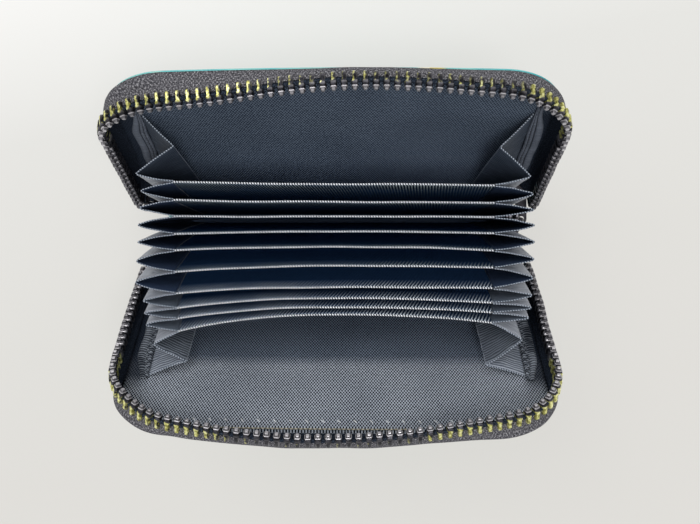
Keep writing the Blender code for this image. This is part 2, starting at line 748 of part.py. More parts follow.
def build_slider(axis):
    turn = Matrix.Rotation(math.pi / 2, 4, "Z")
    place = Matrix.Translation(Vector((SLIDER_MIDDLE_X, SLIDER_Y, SLIDER_FOOT)) * MM)
    body = outline_solid("slider_body", slider_outline(), SLIDER_THICKNESS)
    slider = add_node("slider_body", body, "gunmetal", axis, place @ turn)
    bevel(slider, 0.35, 1)
    channel = SLIDER_CHANNEL_HALF_WIDTH
    half_depth = SLIDER_THICKNESS / 2 - SLIDER_PLATE
    top = SLIDER_FOOT + SLIDER_LENGTH
    cut_low = (SLIDER_MIDDLE_X - half_depth, SLIDER_Y - channel, SLIDER_FOOT - 1)
    cut_high = (SLIDER_MIDDLE_X + half_depth, SLIDER_Y + channel, top - SLIDER_POST_LENGTH)
    rear = cutter_object("slider channel", box_mesh("slider channel", cut_low, cut_high))
    boolean(slider, rear, "DIFFERENCE")
    for hand in (-1, 1):
        inner = SLIDER_Y + hand * SLIDER_POST_WIDTH / 2
        outer = SLIDER_Y + hand * (channel + 0.6)
        low = (cut_low[0], min(inner, outer), top - SLIDER_POST_LENGTH - 1)
        high = (cut_high[0], max(inner, outer), top + 1)
        mouth = cutter_object("slider mouth %d" % hand, box_mesh("slider mouth", low, high))
        boolean(slider, mouth, "DIFFERENCE")
        low = (SLIDER_MIDDLE_X - SLIDER_SLOT / 2, min(inner, SLIDER_Y + hand * 9), SLIDER_FOOT - 1)
        high = (SLIDER_MIDDLE_X + SLIDER_SLOT / 2, max(inner, SLIDER_Y + hand * 9), top + 1)
        slot = cutter_object("slider tape slot %d" % hand, box_mesh("slider tape slot", low, high))
        boolean(slider, slot, "DIFFERENCE")
    bridge = cutter_object("slider bridge", bridge_mesh())
    boolean(slider, bridge, "UNION")
    return slider


def bridge_mesh():
    """The arch on the slider's outer face that the pull turns on: a bent wire made a mesh."""
    face = SLIDER_INNER_X + SLIDER_THICKNESS - 0.5
    reach = SLIDER_INNER_X + SLIDER_THICKNESS + BRIDGE_REACH - BRIDGE_WIRE
    bend = 1.0
    route = [(face, BRIDGE_FOOT + BRIDGE_WIRE)]
    for low, start in ((True, math.pi), (False, math.pi / 2)):
        centre_z = BRIDGE_FOOT + BRIDGE_WIRE + bend if low else BRIDGE_TOP - BRIDGE_WIRE - bend
        for i in range(4):
            turn = math.pi / 2 * i / 3
            angle = -math.pi / 2 + turn if low else turn
            x = reach - bend + bend * math.cos(angle)
            route.append((x, centre_z + bend * math.sin(angle)))
    route.append((face, BRIDGE_TOP - BRIDGE_WIRE))
    curve = bpy.data.curves.new("slider bridge", "CURVE")
    curve.dimensions = "3D"
    curve.bevel_depth = BRIDGE_WIRE * MM
    curve.bevel_resolution = 2
    curve.use_fill_caps = True
    spline = curve.splines.new("POLY")
    spline.points.add(len(route) - 1)
    for place, (x, z) in zip(spline.points, route):
        place.co = (x * MM, SLIDER_Y * MM, z * MM, 1.0)
    guide = bpy.data.objects.new("slider bridge guide", curve)
    CUTTERS.objects.link(guide)
    bpy.context.view_layer.update()
    graph = bpy.context.evaluated_depsgraph_get()
    mesh = bpy.data.meshes.new_from_object(guide.evaluated_get(graph))
    bpy.data.objects.remove(guide, do_unlink=True)
    bm = bmesh.new()
    bm.from_mesh(mesh)
    bmesh.ops.remove_doubles(bm, verts=bm.verts, dist=1e-6)
    bmesh.ops.recalc_face_normals(bm, faces=bm.faces)
    bm.to_mesh(mesh)
    bm.free()
    return mesh


PULL_AXIS_X = SLIDER_INNER_X + SLIDER_THICKNESS + BRIDGE_REACH - BRIDGE_WIRE
PULL_EYE_Z = BRIDGE_FOOT + 2 * BRIDGE_WIRE + GAP + PULL_THICKNESS / 2


def pull_outline():
    """Seen from above: a narrow eye end that widens to a round end."""
    eye = PULL_EYE_WIDTH / 2
    end = PULL_END_WIDTH / 2
    points = []
    for i in range(9):
        turn = math.pi / 2 + math.pi * i / 8
        points.append((eye * math.cos(turn), eye * math.sin(turn)))
    for i in range(11):
        turn = -math.pi / 2 + math.pi * i / 10
        points.append((PULL_LENGTH - end + end * math.cos(turn), end * math.sin(turn)))
    return points


def build_pull(axis):
    """Flat tab whose eye is loose on the bridge. It points to +Y and its tip droops to the table."""
    mesh = outline_solid("pull_tab", pull_outline(), PULL_THICKNESS)
    flat = Matrix.Rotation(-math.pi / 2, 4, "X")
    droop = Matrix.Rotation(math.radians(PULL_DROOP_DEG), 4, "Y")
    turn = Matrix.Rotation(math.pi / 2, 4, "Z")
    place = Matrix.Translation(Vector((PULL_AXIS_X, SLIDER_Y, PULL_EYE_Z)) * MM)
    pull = add_node("pull_tab", mesh, "gunmetal", axis, place @ turn @ droop @ flat)
    bevel(pull, 0.25, 1)
    bar_low = (PULL_AXIS_X, SLIDER_Y, PULL_EYE_Z - 6)
    bar_high = (PULL_AXIS_X, SLIDER_Y, PULL_EYE_Z + 6)
    bore = cylinder_mesh("pull eye", PULL_EYE_RADIUS, bar_low, bar_high, 16)
    boolean(pull, cutter_object("pull eye", bore), "DIFFERENCE")
    return pull


# Joint axes


def joint_point(own, own_turn, carrier, carrier_turn):
    """Where a piece turns on its carrier, so that each keeps its own foot as both close.

    own and carrier are (y, z) of the feet, and the turns are how far each one turns in all.
    """
    rate = own_turn - carrier_turn
    return tuple((own_turn * a - carrier_turn * b) / rate for a, b in zip(own, carrier))


def build_side(side, cover_word, root):
    """One half of the accordion and its cover, each hung on the piece before it."""
    step = -1 if side == BACK else 1
    last = 1 if side == BACK else len(DIVIDER_LEAN_DEG)
    carrier_axis = root
    carrier_foot = (0.0, 0.0)
    carrier_turn = 0.0
    number = FIXED_DIVIDER + step
    while True:
        turn = abs(DIVIDER_LEAN_DEG[number - 1] - DIVIDER_LEAN_DEG[FIXED_DIVIDER - 1])
        foot = (divider_base(number), DIVIDER_FOOT)
        point = joint_point(foot, turn, carrier_foot, carrier_turn)
        axis = axis_empty("divider_%02d_axis" % number, (0, *point), carrier_axis)
        build_divider(number, axis)
        neighbour = number if side == BACK else number - 1
        for end in (LEFT, RIGHT):
            build_pleat(neighbour, end, axis)
        carrier_axis, carrier_foot, carrier_turn = axis, foot, turn
        if number == last:
            break
        number += step
    fold = (side * FOLD_SPACING / 2, FOLD_HEIGHT)
    point = joint_point(fold, COVER_OPEN_DEG, carrier_foot, carrier_turn)
    axis = axis_empty(cover_word + "_cover_axis", (0, *point), carrier_axis)
    build_cover(cover_word, side, axis)
    for end in (LEFT, RIGHT):
        build_gusset(cover_word, side, end, axis)


def build():
    root = axis_empty("spine_axis", (0, 0, 0))
    build_spine(root)
    build_divider(FIXED_DIVIDER, root)
    build_side(BACK, "back", root)
    build_side(FRONT, "front", root)
    build_zip_end(root)
    slider_axis = axis_empty("slider_axis", (SLIDER_MIDDLE_X, SLIDER_Y, SLIDER_FOOT), root)
    build_slider(slider_axis)
    pull_axis = axis_empty("pull_axis", (PULL_AXIS_X, SLIDER_Y, PULL_EYE_Z), slider_axis)
    build_pull(pull_axis)


clear_scene()
PARTS = make_collection("zip_card_holder", False)
CUTTERS = make_collection("cutters", True)
build()
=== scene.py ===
import math

import bmesh
import bpy
import numpy as np
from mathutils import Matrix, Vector, noise


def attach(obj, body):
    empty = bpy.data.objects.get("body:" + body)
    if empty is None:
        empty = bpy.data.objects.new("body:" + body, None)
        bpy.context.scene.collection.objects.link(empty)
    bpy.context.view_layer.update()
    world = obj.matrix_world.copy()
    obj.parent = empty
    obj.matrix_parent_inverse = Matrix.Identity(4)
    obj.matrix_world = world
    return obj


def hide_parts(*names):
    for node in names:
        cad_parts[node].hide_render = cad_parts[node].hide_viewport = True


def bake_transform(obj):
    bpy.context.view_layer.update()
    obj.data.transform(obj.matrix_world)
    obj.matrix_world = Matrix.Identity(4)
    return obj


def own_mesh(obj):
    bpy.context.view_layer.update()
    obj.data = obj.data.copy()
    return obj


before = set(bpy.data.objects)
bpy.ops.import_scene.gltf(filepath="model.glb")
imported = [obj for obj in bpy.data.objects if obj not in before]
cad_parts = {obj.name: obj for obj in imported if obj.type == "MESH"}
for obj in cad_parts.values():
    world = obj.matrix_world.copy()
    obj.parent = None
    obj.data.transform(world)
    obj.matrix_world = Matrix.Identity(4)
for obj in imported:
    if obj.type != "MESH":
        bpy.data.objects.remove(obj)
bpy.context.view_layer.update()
MM = 0.001
BACK, FRONT = 1, -1
RIGHT, LEFT = 1, -1

# The frame's own sizes
FOLD_Y, FOLD_Z = 10.0, 1.2
OPEN_DEG = 29.0
SLOPE = math.radians(OPEN_DEG)
COVER_HALF, FOLD_HALF, CORNER = 57.5, 53.0, 16.0
HEIGHTS = {BACK: 72.0, FRONT: 73.7}
# Each top edge sinks a little to both sides of its highest place: rate and place
SAG = {BACK: (0.0006, 8.0), FRONT: (0.0003, 20.0)}
LEANS = (12.0, 8.4, 5.7, 2.9, 0.0, -4.1, -9.0, -10.7, -11.8, -12.4)
DIVIDER_HALF, DIVIDER_HEIGHT, DIVIDER_FOOT, PITCH_Y = 41.6, 50.0, 2.0, 1.5
# Where pleats and gussets are sewn to the dividers, how far inwards of the fold plane the gussets meet
# the lining, and how far the round of a pleat's fold stands out
SEAM_X = DIVIDER_HALF + 0.15
LINING_FACE = 2.05
TIP_ROUND = 0.22

# Place of the teeth on the sides, the left and right corners and the bulge of the top edge:
# outwards of the cover's edge, inwards of its fold plane, outward tilt in degrees
TEETH = {
    BACK: ((1.6, 7.6, 2.0), (-3.0, 6.3, -28.0), (-0.6, 5.8, -10.0), (1.9, 4.4, -4.0)),
    FRONT: ((0.6, 7.6, 0.0), (-1.0, 6.9, -17.0), (0.0, 6.5, -6.0), (4.9, 4.3, 11.0)),
}
TEETH_INSET, TOOTH_PITCH = 0.8, 2.5
# Middle of the bulge, how far it runs, how sharp it is
BULGE = {BACK: (8.0, 53.0, 1.8), FRONT: (-5.0, 48.5, 1.0)}

# How far apart the ribs of the bindings and front gussets are
RIB_PITCH = 0.95
# No side of a flat sheet is declared narrower than this, in metres
LEAST_SIDE = 0.0105

# Camera, at the photograph's place
FOCAL_PX, IMAGE_W = 865.0, 700

# Mesh helpers


def new_object(name, mesh):
    obj = bpy.data.objects.new(name, mesh)
    bpy.context.scene.collection.objects.link(obj)
    return obj


def grid(name, rows, uv=None, close=False):
    """A sheet from rows of points in mm. uv is the same layout of (u, v) in metres."""
    cols = len(rows[0])
    verts = [p * MM for row in rows for p in row]
    faces, corners = [], []
    for j in range(len(rows) - 1):
        for i in range(cols if close else cols - 1):
            k = (i + 1) % cols
            faces.append((j * cols + i, j * cols + k, (j + 1) * cols + k, (j + 1) * cols + i))
            corners += [(j, i), (j, i + 1), (j + 1, i + 1), (j + 1, i)]
    mesh = bpy.data.meshes.new(name)
    mesh.from_pydata(verts, [], faces)
    layer = mesh.uv_layers.new(name="UVMap")
    if uv is None:
        uv = flat_uv(rows, close)
    for loop, (j, i) in zip(layer.data, corners):
        loop.uv = uv[j][i]
    mesh.polygons.foreach_set("use_smooth", [True] * len(mesh.polygons))
    return new_object(name, mesh)


def lengths(line):
    """How far along a line of points each of them is."""
    run = [0.0]
    for a, b in zip(line, line[1:]):
        run.append(run[-1] + (b - a).length)
    return run


def flat_uv(rows, close=False):
    """Cloth coordinates in metres: u along each row, measured on the middle row, v across the rows."""
    mid = list(rows[len(rows) // 2])
    u = lengths(mid + mid[:1] if close else mid)
    v = lengths([row[len(mid) // 2] for row in rows])
    return [[(x * MM, y * MM) for x in u] for y in v]


def solid(obj, thickness, second=0):
    """Gives a sheet its thickness and applies it. second counts to the material of the other side."""
    m = obj.modifiers.new("thickness", "SOLIDIFY")
    m.thickness = thickness * MM
    m.offset = 0.0
    m.use_even_offset = False
    m.material_offset = second
    bpy.context.view_layer.update()
    graph = bpy.context.evaluated_depsgraph_get()
    mesh = bpy.data.meshes.new_from_object(obj.evaluated_get(graph))
    obj.modifiers.clear()
    old = obj.data
    obj.data = mesh
    bpy.data.meshes.remove(old)
    return obj


def face_outwards(bm):
    bm.normal_update()
    bmesh.ops.recalc_face_normals(bm, faces=bm.faces)


def cap(obj, count, outwards=True):
    """Closes both ends of a grid of rings, each of count points."""
    bm = bmesh.new()
    bm.from_mesh(obj.data)
    bm.verts.ensure_lookup_table()
    bm.faces.new(bm.verts[:count][::-1])
    bm.faces.new(bm.verts[-count:])
    if outwards:
        face_outwards(bm)
    bm.to_mesh(obj.data)
    bm.free()
    return obj


def heading(path, i):
    """Way that a path runs at one of its points."""
    return (path[min(i + 1, len(path) - 1)] - path[max(i - 1, 0)]).normalized()


def tube(name, path, radii, sides):
    """A tube along a path. radii is one number or (across, upwards)."""
    wide, high = radii if isinstance(radii, tuple) else (radii, radii)
    turns = [2 * math.pi * k / sides for k in range(sides + 1)]
    round_it = [w * max(wide, high) * MM for w in turns]
    rows, uv = [], []
    for i, (p, run) in enumerate(zip(path, lengths(path))):
        t = heading(path, i)
        side = t.cross(Vector((0, 0, 1))).normalized()
        lift = side.cross(t).normalized()
        rows.append([p + side * (wide * math.cos(w)) + lift * (high * math.sin(w)) for w in turns[:-1]])
        uv.append([(run * MM, v) for v in round_it])
    return cap(grid(name, rows, uv, close=True), sides, outwards=False)


def join(name, objs):
    """Joins objects into one mesh, keeping their UVs and materials."""
    slots, bm = [], bmesh.new()
    bm.loops.layers.uv.new("UVMap")
    for o in objs:
        at = len(bm.faces)
        bm.from_mesh(o.data)
        bm.faces.ensure_lookup_table()
        own = list(o.data.materials)
        for m in own:
            if m not in slots:
                slots.append(m)
        for f in bm.faces[at:]:
            f.material_index = slots.index(own[min(f.material_index, len(own) - 1)])
    mesh = bpy.data.meshes.new(name)
    bm.to_mesh(mesh)
    bm.free()
    for m in slots:
        mesh.materials.append(m)
    for o in objs:
        data = o.data
        bpy.data.objects.remove(o)
        bpy.data.meshes.remove(data)
    return new_object(name, mesh)


def cut_size(rows):
    """The flat cut of a sheet given as rows in mm: ((width, length), area) in metres."""
    wide = [lengths(row)[-1] for row in rows]
    steps = []
    for low, high in zip(rows, rows[1:]):
        steps.append(sum(lengths(pair)[-1] for pair in zip(low, high)) / len(low))
    area = sum(s * (a + b) / 2 for s, a, b in zip(steps, wide, wide[1:]))
    return (max(wide) * MM, sum(steps) * MM), area * MM * MM


def cloth_cut(rows):
    flat, area = cut_size(rows)
    flat = tuple(max(side, LEAST_SIDE) for side in flat)


def paint(obj, *keys):
    obj.data.materials.clear()
    for key in keys:
        obj.data.materials.append(M[key])
    return obj


def ease(t):
    t = min(max(t, 0.0), 1.0)
    return t * t * (3 - 2 * t)


def wob(x, y, z, scale, seed=0.0):
    """Smooth noise from -1 to 1 at a place in mm."""
    return noise.noise(Vector((x / scale + seed, y / scale - seed, z / scale + 3.7 * seed)))


# Materials


def shade(colour):
    """RGBA of a hex triplet, a linear triple or one grey level."""
    if isinstance(colour, str):
        parts = [int(colour[i : i + 2], 16) / 255 for i in (0, 2, 4)]
        colour = [c / 12.92 if c <= 0.04045 else ((c + 0.055) / 1.055) ** 2.4 for c in parts]
    elif isinstance(colour, (int, float)):
        colour = (colour,) * 3
    return (*colour, 1.0)


class Nodes:
    """Short names for building a material. Its colours are sockets or what shade takes."""

    def __init__(self, name):
        self.mat = bpy.data.materials.new(name)
        self.mat.use_nodes = True
        self.tree = self.mat.node_tree
        self.bsdf = self.tree.nodes["Principled BSDF"]

    def node(self, kind, **values):
        n = self.tree.nodes.new(kind)
        for k, v in values.items():
            setattr(n, k, v)
        return n

    def put(self, socket, value):
        if isinstance(value, bpy.types.NodeSocket):
            self.tree.links.new(value, socket)
        elif value is not None:
            socket.default_value = value

    def feed(self, node, *values):
        """Fills a node's first inputs in their order and gives its output."""
        for socket, value in zip(node.inputs, values):
            self.put(socket, value)
        return node.outputs[0]

    def fill(self, node, **values):
        for key, value in values.items():
            self.put(node.inputs[key], value)

    def tint(self, socket, colour):
        self.put(socket, colour if isinstance(colour, bpy.types.NodeSocket) else shade(colour))

    def math(self, op, a, b=None, c=None):
        return self.feed(self.node("ShaderNodeMath", operation=op), a, b, c)

    def add(self, a, b):
        return self.math("ADD", a, b)

    def sub(self, a, b):
        return self.math("SUBTRACT", a, b)

    def mul(self, a, b):
        return self.math("MULTIPLY", a, b)

    def div(self, a, b):
        return self.math("DIVIDE", a, b)

    def cosine(self, x, pitch):
        return self.math("COSINE", self.mul(x, 2 * math.pi / pitch))

    def level(self, x):
        """-1 to 1 becomes 0 to 1."""
        return self.math("MULTIPLY_ADD", x, 0.5, 0.5)

    def peak(self, x):
        """0 at each whole number, 1 half way to the next."""
        part = self.math("FRACT", x)
        return self.sub(1.0, self.math("ABSOLUTE", self.sub(self.mul(part, 2.0), 1.0)))

    def uv(self):
        n = self.node("ShaderNodeUVMap", uv_map="UVMap")
        x = self.node("ShaderNodeSeparateXYZ")
        self.put(x.inputs[0], n.outputs[0])
        return n.outputs[0], x.outputs[0], x.outputs[1]

    def place(self):
        return self.node("ShaderNodeTexCoord").outputs["Object"]

    def noise(self, vector, scale, detail=2.0, rough=0.5):
        n = self.node("ShaderNodeTexNoise")
        self.fill(n, Vector=vector, Scale=scale, Detail=detail, Roughness=rough)
        return n.outputs["Fac"]

    def ramp(self, fac, *stops, mode="LINEAR"):
        n = self.node("ShaderNodeValToRGB")
        n.color_ramp.interpolation = mode
        e = n.color_ramp.elements
        while len(e) < len(stops):
            e.new(0.5)
        for s, (at, colour) in zip(e, stops):
            s.position = at
            s.color = shade(colour)
        self.put(n.inputs[0], fac)
        return n.outputs[0]

    def mix(self, fac, a, b, kind="MIX"):
        n = self.node("ShaderNodeMix", data_type="RGBA", blend_type=kind)
        self.put(n.inputs[0], fac)
        self.tint(n.inputs[6], a)
        self.tint(n.inputs[7], b)
        return n.outputs[2]

    def times(self, a, b):
        return self.mix(1.0, a, b, "MULTIPLY")

    def attribute(self, name):
        return self.node("ShaderNodeAttribute", attribute_name=name).outputs["Fac"]

    def bump(self, height, distance, strength):
        n = self.node("ShaderNodeBump")
        self.fill(n, Distance=distance, Strength=strength, Height=height)
        self.put(self.bsdf.inputs["Normal"], n.outputs[0])

    def finish(self, colour, rough, metal=0.0, spec=0.5):
        self.tint(self.bsdf.inputs["Base Color"], colour)
        self.fill(self.bsdf, Roughness=rough, Metallic=metal, **{"Specular IOR Level": spec})
        return self.mat


def twill(n, pitch):
    """Height of a twill weave from 0 to 1: short threads in rows, each row half a thread further on."""
    _, u, v = n.uv()
    row = n.div(v, pitch)
    along = n.add(n.div(u, pitch), n.mul(n.math("FLOOR", row), 0.5))
    return n.mul(n.peak(along), n.peak(row))


def dotted(n, across, up):
    """Dotted weave from 0 to 1: floats of thread in a diamond lattice, across and up its repeats."""
    _, u, v = n.uv()
    return n.level(n.mul(n.cosine(u, across), n.cosine(v, up)))


def lining_material(name, low, high, across, up, fleck, foot):
    """Cover lining: dotted weave, uneven in tone. foot is (share of 80 mm up the cover, brightness) twice:
    painted light and painted shade that lighten or darken the cloth by its height.
    """
    n = Nodes(name)
    w = dotted(n, across, up)
    uvv, u, v = n.uv()
    share = n.div(v, 0.08)
    fine = n.noise(uvv, 1500.0, 2.0, 0.7)
    weave = n.ramp(n.add(w, n.mul(n.sub(fine, 0.5), fleck * 2)), (0.38, low), (0.64, high))
    colour = n.times(weave, n.ramp(n.noise(uvv, 45.0, 3.0), (0.3, 1), (0.72, (0.72, 0.73, 0.75))))
    # the painted shade is a little cooler
    painted_shade_tint = (0.86, 0.96, 1.1)
    painted_tones = [(at, tuple(value * (k if value < 0.9 else 1.0) for k in painted_shade_tint)) for at, value in foot]
    colour = n.times(colour, n.ramp(share, *painted_tones))
    # outside the gussets it lies in the shade of the zip tape
    outside = n.ramp(n.div(n.math("ABSOLUTE", u), 0.1), (0.50, 0), (0.525, 0.85))
    lower = n.ramp(share, (0.68, 1), (0.75, 0))
    colour = n.mix(n.times(outside, lower), colour, "121a27")
    n.bump(w, 0.00012, 0.7)
    return n.finish(colour, 0.75, spec=0.12)


def divider_material(name, pitch, slant, lit, high):
    """Divider cloth: navy, with the pale slanting floats of its twill. The floats show only near the folded
    top edge; lower down painted shade hides them, and low on the panel a brighter blue is painted in as
    painted light in the deep shade.

    pitch is how far apart the floats are, slant how far they lean, lit the shares of 50 mm up over which
    the painted shade gives way to them and high their colour.
    """
    n = Nodes(name)
    uvv, u, v = n.uv()
    share = n.div(v, 0.05)
    fine = n.noise(uvv, 1800.0, 2.0, 0.7)
    wave = n.level(n.cosine(n.add(u, n.mul(v, slant)), pitch))
    stroke = n.add(wave, n.mul(n.sub(fine, 0.5), 0.9))
    # painted light and shade: the pale floats show only in the span near the top edge
    painted_light_share = n.ramp(share, *zip(lit, (0, 0.5, 1)))
    patch = n.ramp(n.noise(uvv, 70.0, 2.0), (0.35, 0.55), (0.65, 1))
    dark = n.ramp(fine, (0.3, "1a2d47"), (0.7, "2a4263"))
    # painted light: a brighter blue low on the panel, where it lies in deep shade
    dark = n.mix(n.ramp(share, (0.55, 1), (0.93, 0)), dark, "3e6393")
    pale = n.ramp(stroke, (0.52, "16202d"), (0.82, high))
    n.bump(stroke, 0.0001, 0.6)
    return n.finish(n.mix(n.times(painted_light_share, patch), dark, pale), 0.7, spec=0.0)


def satin_material(name, low, high, rough=0.5, crease=0.5, rib=0.0, seams=()):
    """Thin pleat cloth: fine and smooth, with painted highlights along crease lines.

    crease is how bright those painted highlights are, rib how dark the painted shade between its cross
    ribs is (any rib also gives the ribs their bump), seams are the places across it of dark seam lines.
    """
    n = Nodes(name)
    w = twill(n, 0.00036)
    uvv, u, v = n.uv()
    lines = n.feed(n.node("ShaderNodeCombineXYZ"), n.mul(n.add(u, n.mul(v, 0.35)), 0.25), v)
    crease_highlights = n.noise(lines, 900.0, 2.0, 0.6)
    colour = n.mix(n.ramp(w, (0.1, 0.35), (0.8, 1)), low, high)
    colour = n.mix(n.ramp(n.noise(uvv, 110.0, 3.0), (0.35, 0), (0.75, 0.35)), colour, low)
    # painted highlights along crease lines
    colour = n.mix(n.ramp(crease_highlights, (0.50, 0), (0.72, crease)), colour, high)
    height = n.add(n.mul(w, 0.3), n.noise(uvv, 300.0))
    if rib:
        bend = n.add(v, n.mul(n.noise(uvv, 260.0, 1.0), 0.0012))
        wave = n.level(n.cosine(bend, RIB_PITCH * MM))
        # painted shade between the ribs
        colour = n.mix(n.mul(n.ramp(wave, (0.35, 1), (0.6, 0)), rib), colour, low)
        height = n.add(height, wave)
    for place in seams:
        far = n.math("ABSOLUTE", n.sub(u, place))
        colour = n.mix(n.ramp(n.div(far, 0.001), (0.18, 0.85), (0.42, 0)), colour, "141a24")
    n.bump(height, 0.00025, 0.5)
    return n.finish(colour, rough, spec=0.25)


def rope_material(name, low, high, pitch):
    """Folded edge of the twill: light slanting threads with dark between them."""
    n = Nodes(name)
    uvv, u, v = n.uv()
    ridge = n.peak(n.div(n.add(u, n.mul(v, 0.4)), pitch))
    fray = n.ramp(n.noise(uvv, 500.0), (0.45, 0), (0.75, 0.35))
    colour = n.mix(fray, n.ramp(ridge, (0.32, low), (0.62, high)), low)
    n.bump(ridge, 0.00018, 0.9)
    return n.finish(colour, 0.6, spec=0.2)


def tape_material(name, low, middle, high):
    """Salt and pepper weave of the zip tape."""
    n = Nodes(name)
    speck = n.noise(n.uv()[0], 2700.0, 2.0, 0.8)
    mixed = n.math("MULTIPLY_ADD", dotted(n, 0.0009, 0.0011), 0.08, n.mul(speck, 0.92))
    n.bump(mixed, 0.00012, 0.6)
    return n.finish(n.ramp(mixed, (0.36, low), (0.52, middle), (0.68, high)), 0.85, spec=0.12)


def print_material(name):
    """Coated cover cloth: teal ground with soft cream and yellow patches, plain and abstract."""
    n = Nodes(name)
    coord = n.place()
    cells = n.node("ShaderNodeTexVoronoi", feature="SMOOTH_F1")
    n.fill(cells, Vector=coord, Scale=55.0, Smoothness=0.4)
    ground = n.ramp(n.noise(coord, 42.0, 3.0), (0.30, "1f6f7c"), (0.48, "3ba7ad"), (0.62, "8fcdc6"))
    spots = n.ramp(cells.outputs["Distance"], (0.16, 1), (0.24, 0))
    patch = n.ramp(n.noise(coord, 30.0, 1.0), (0.46, "efe6c4"), (0.56, "d9c65a"), mode="CONSTANT")
    n.bump(n.noise(coord, 3000.0), 0.00005, 0.5)
    return n.finish(n.mix(spots, ground, patch), 0.42)


def metal_material(name):
    """Gunmetal plating that has worn to brass where one float attribute says so, with painted highlights on
    its edges where another says so.
    """
    n = Nodes(name)
    coord = n.place()
    rub = n.noise(coord, 900.0)
    worn = n.ramp(n.add(n.attribute("a_brass"), n.mul(n.sub(rub, 0.5), 0.8)), (0.34, 0), (0.52, 1))
    dark = n.ramp(rub, (0.35, "121217"), (0.65, "403f45"))
    # painted highlight on the edges
    dark = n.mix(n.mul(n.attribute("a_edge"), 0.8), dark, "dddade")
    brass = n.ramp(n.noise(coord, 1300.0), (0.34, "8d8a4a"), (0.5, "d2cf7a"), (0.62, "f5f4b4"))
    n.bump(n.noise(coord, 2500.0), 0.00004, 0.5)
    return n.finish(n.mix(worn, dark, brass), 0.36, metal=0.8)


def plain_metal(name, low, high):
    n = Nodes(name)
    coord = n.place()
    n.bump(n.noise(coord, 2500.0), 0.00003, 0.4)
    return n.finish(n.ramp(n.noise(coord, 700.0, 3.0), (0.3, low), (0.7, high)), 0.34, metal=0.9)


def board_material(name):
    n = Nodes(name)
    fibre = n.noise(n.place(), 900.0, 4.0)
    n.bump(fibre, 0.00005, 0.5)
    return n.finish(n.ramp(fibre, (0.3, "8d8069"), (0.7, "b3a78d")), 0.9)


M = {
    # foot: the back lining is painted lighter low down as painted light, the front one darker below about 46
    # mm up as painted shade
    "lining_back": lining_material(
        "lining_back", "2a3342", "64707f", 0.00076, 0.00135, 0.5, ((0.19, 2.0), (0.62, 1.0))
    ),
    "lining_front": lining_material(
        "lining_front", "0c1420", "bcc4cf", 0.00078, 0.00121, 0.2, ((0.575, 0.40), (0.625, 0.92))
    ),
    "divider_back": divider_material("divider_cloth_back", 0.0008, 0.09, (0.45, 0.75, 0.98), "94a0a4"),
    "divider": divider_material("divider_cloth", 0.00095, 0.25, (0.88, 0.95, 0.99), "94a0a4"),
    "divider_front": divider_material("divider_cloth_front", 0.0009, 0.32, (0.88, 0.94, 0.99), "b9c2cb"),
    "rope": rope_material("divider_edge", "0c131c", "eceff5", 0.0007),
    "pleat": satin_material("pleat_cloth", "4a505c", "c0c5cf"),
    "pleat_painted_shade": satin_material("pleat_painted_shade", "1b2740", "43546e", 0.6, 0.3),
    "pleat_lit": satin_material("pleat_lit", "2f3947", "717a86", 0.6),
    "pleat_edge": rope_material("pleat_edge", "39424e", "a9b1bd", 0.0007),
    "gusset_back": satin_material("gusset_back", "3f4756", "959ca9"),
    "gusset_front": satin_material("gusset_front", "3f4857", "c4cbd6", crease=0.4, rib=0.9),
    "gusset_painted_shade": satin_material("gusset_painted_shade", "17202e", "56606e", crease=0.8, rib=0.35),
    "gusset_fold_painted_light_and_shade": satin_material("gusset_fold_painted_light_and_shade", "121a26", "98a1ad", rib=0.85),
    "binding_back": satin_material("binding_back", "2b323e", "7c8390", 0.6, seams=(0.0, 0.0015, 0.0029)),
    "binding_front": satin_material("binding_front", "161d28", "a3abb6", 0.6, 0.4, 1.0),
    "tape": tape_material("zip_tape", "26262a", "504f54", "a3a2a6"),
    "tape_painted_shade": tape_material("zip_tape_painted_shade", "0e131b", "1d242f", "465060"),
    "print": print_material("cover_print"),
    "metal": metal_material("zip_metal"),
    "slider": plain_metal("slider_metal", "1f1f23", "514f54"),
    "board": board_material("paperboard"),
    "stitch": rope_material("stitch_thread", "b4bac2", "f2f4f6", 0.0004),
    "piping": rope_material("edge_piping", "6f6f66", "b9b3a4", 0.0012),
}

# Shapes of the frame


def cover_point(side, x, up, inward):
    """Point in mm of a cover, up from its fold and inwards of its fold plane."""
    rate, centre = SAG[side]
    up = up - rate * (x - centre) ** 2 * max(up, 0.0) / HEIGHTS[side]
    y = FOLD_Y + up * math.sin(SLOPE) - inward * math.cos(SLOPE)
    return Vector((x, side * y, FOLD_Z + up * math.cos(SLOPE) + inward * math.sin(SLOPE)))


def side_half(up):
    return FOLD_HALF + (COVER_HALF - FOLD_HALF) * ease((up - 4.0) / 14.0)


def row_half(side, up, inset):
    """Half width of a cover at a height, its round corners included."""
    centre = HEIGHTS[side] - CORNER
    if up <= centre:
        return side_half(up) - inset
    r = CORNER - inset
    rise = min(up - centre, r)
    return COVER_HALF - CORNER + math.sqrt(max(r * r - rise * rise, 0.0))


def right_edge(side, start, inset):
    """The right edge of a cover from a height, with its corner, as (x, up)."""
    waist_end, waist_steps, corner_steps = 20.0, 16, 18
    r = CORNER - inset
    ups = [start + (waist_end - start) * i / waist_steps for i in range(waist_steps)]
    points = [(side_half(up) - inset, up) for up in ups]
    points.append((COVER_HALF - inset, waist_end))
    for i in range(corner_steps + 1):
        w = math.pi / 2 * i / corner_steps
        points.append((COVER_HALF - CORNER + r * math.cos(w), HEIGHTS[side] - CORNER + r * math.sin(w)))
    return points


def mirrored(line):
    return [(-x, up) for x, up in reversed(line)]


def outline(side, start, inset):
    right = right_edge(side, start, inset)
    end_x, end_up = right[-1]
    top = [(x, end_up) for x in np.linspace(end_x, -end_x, 24)[1:-1]]
    return right + top + mirrored(right)


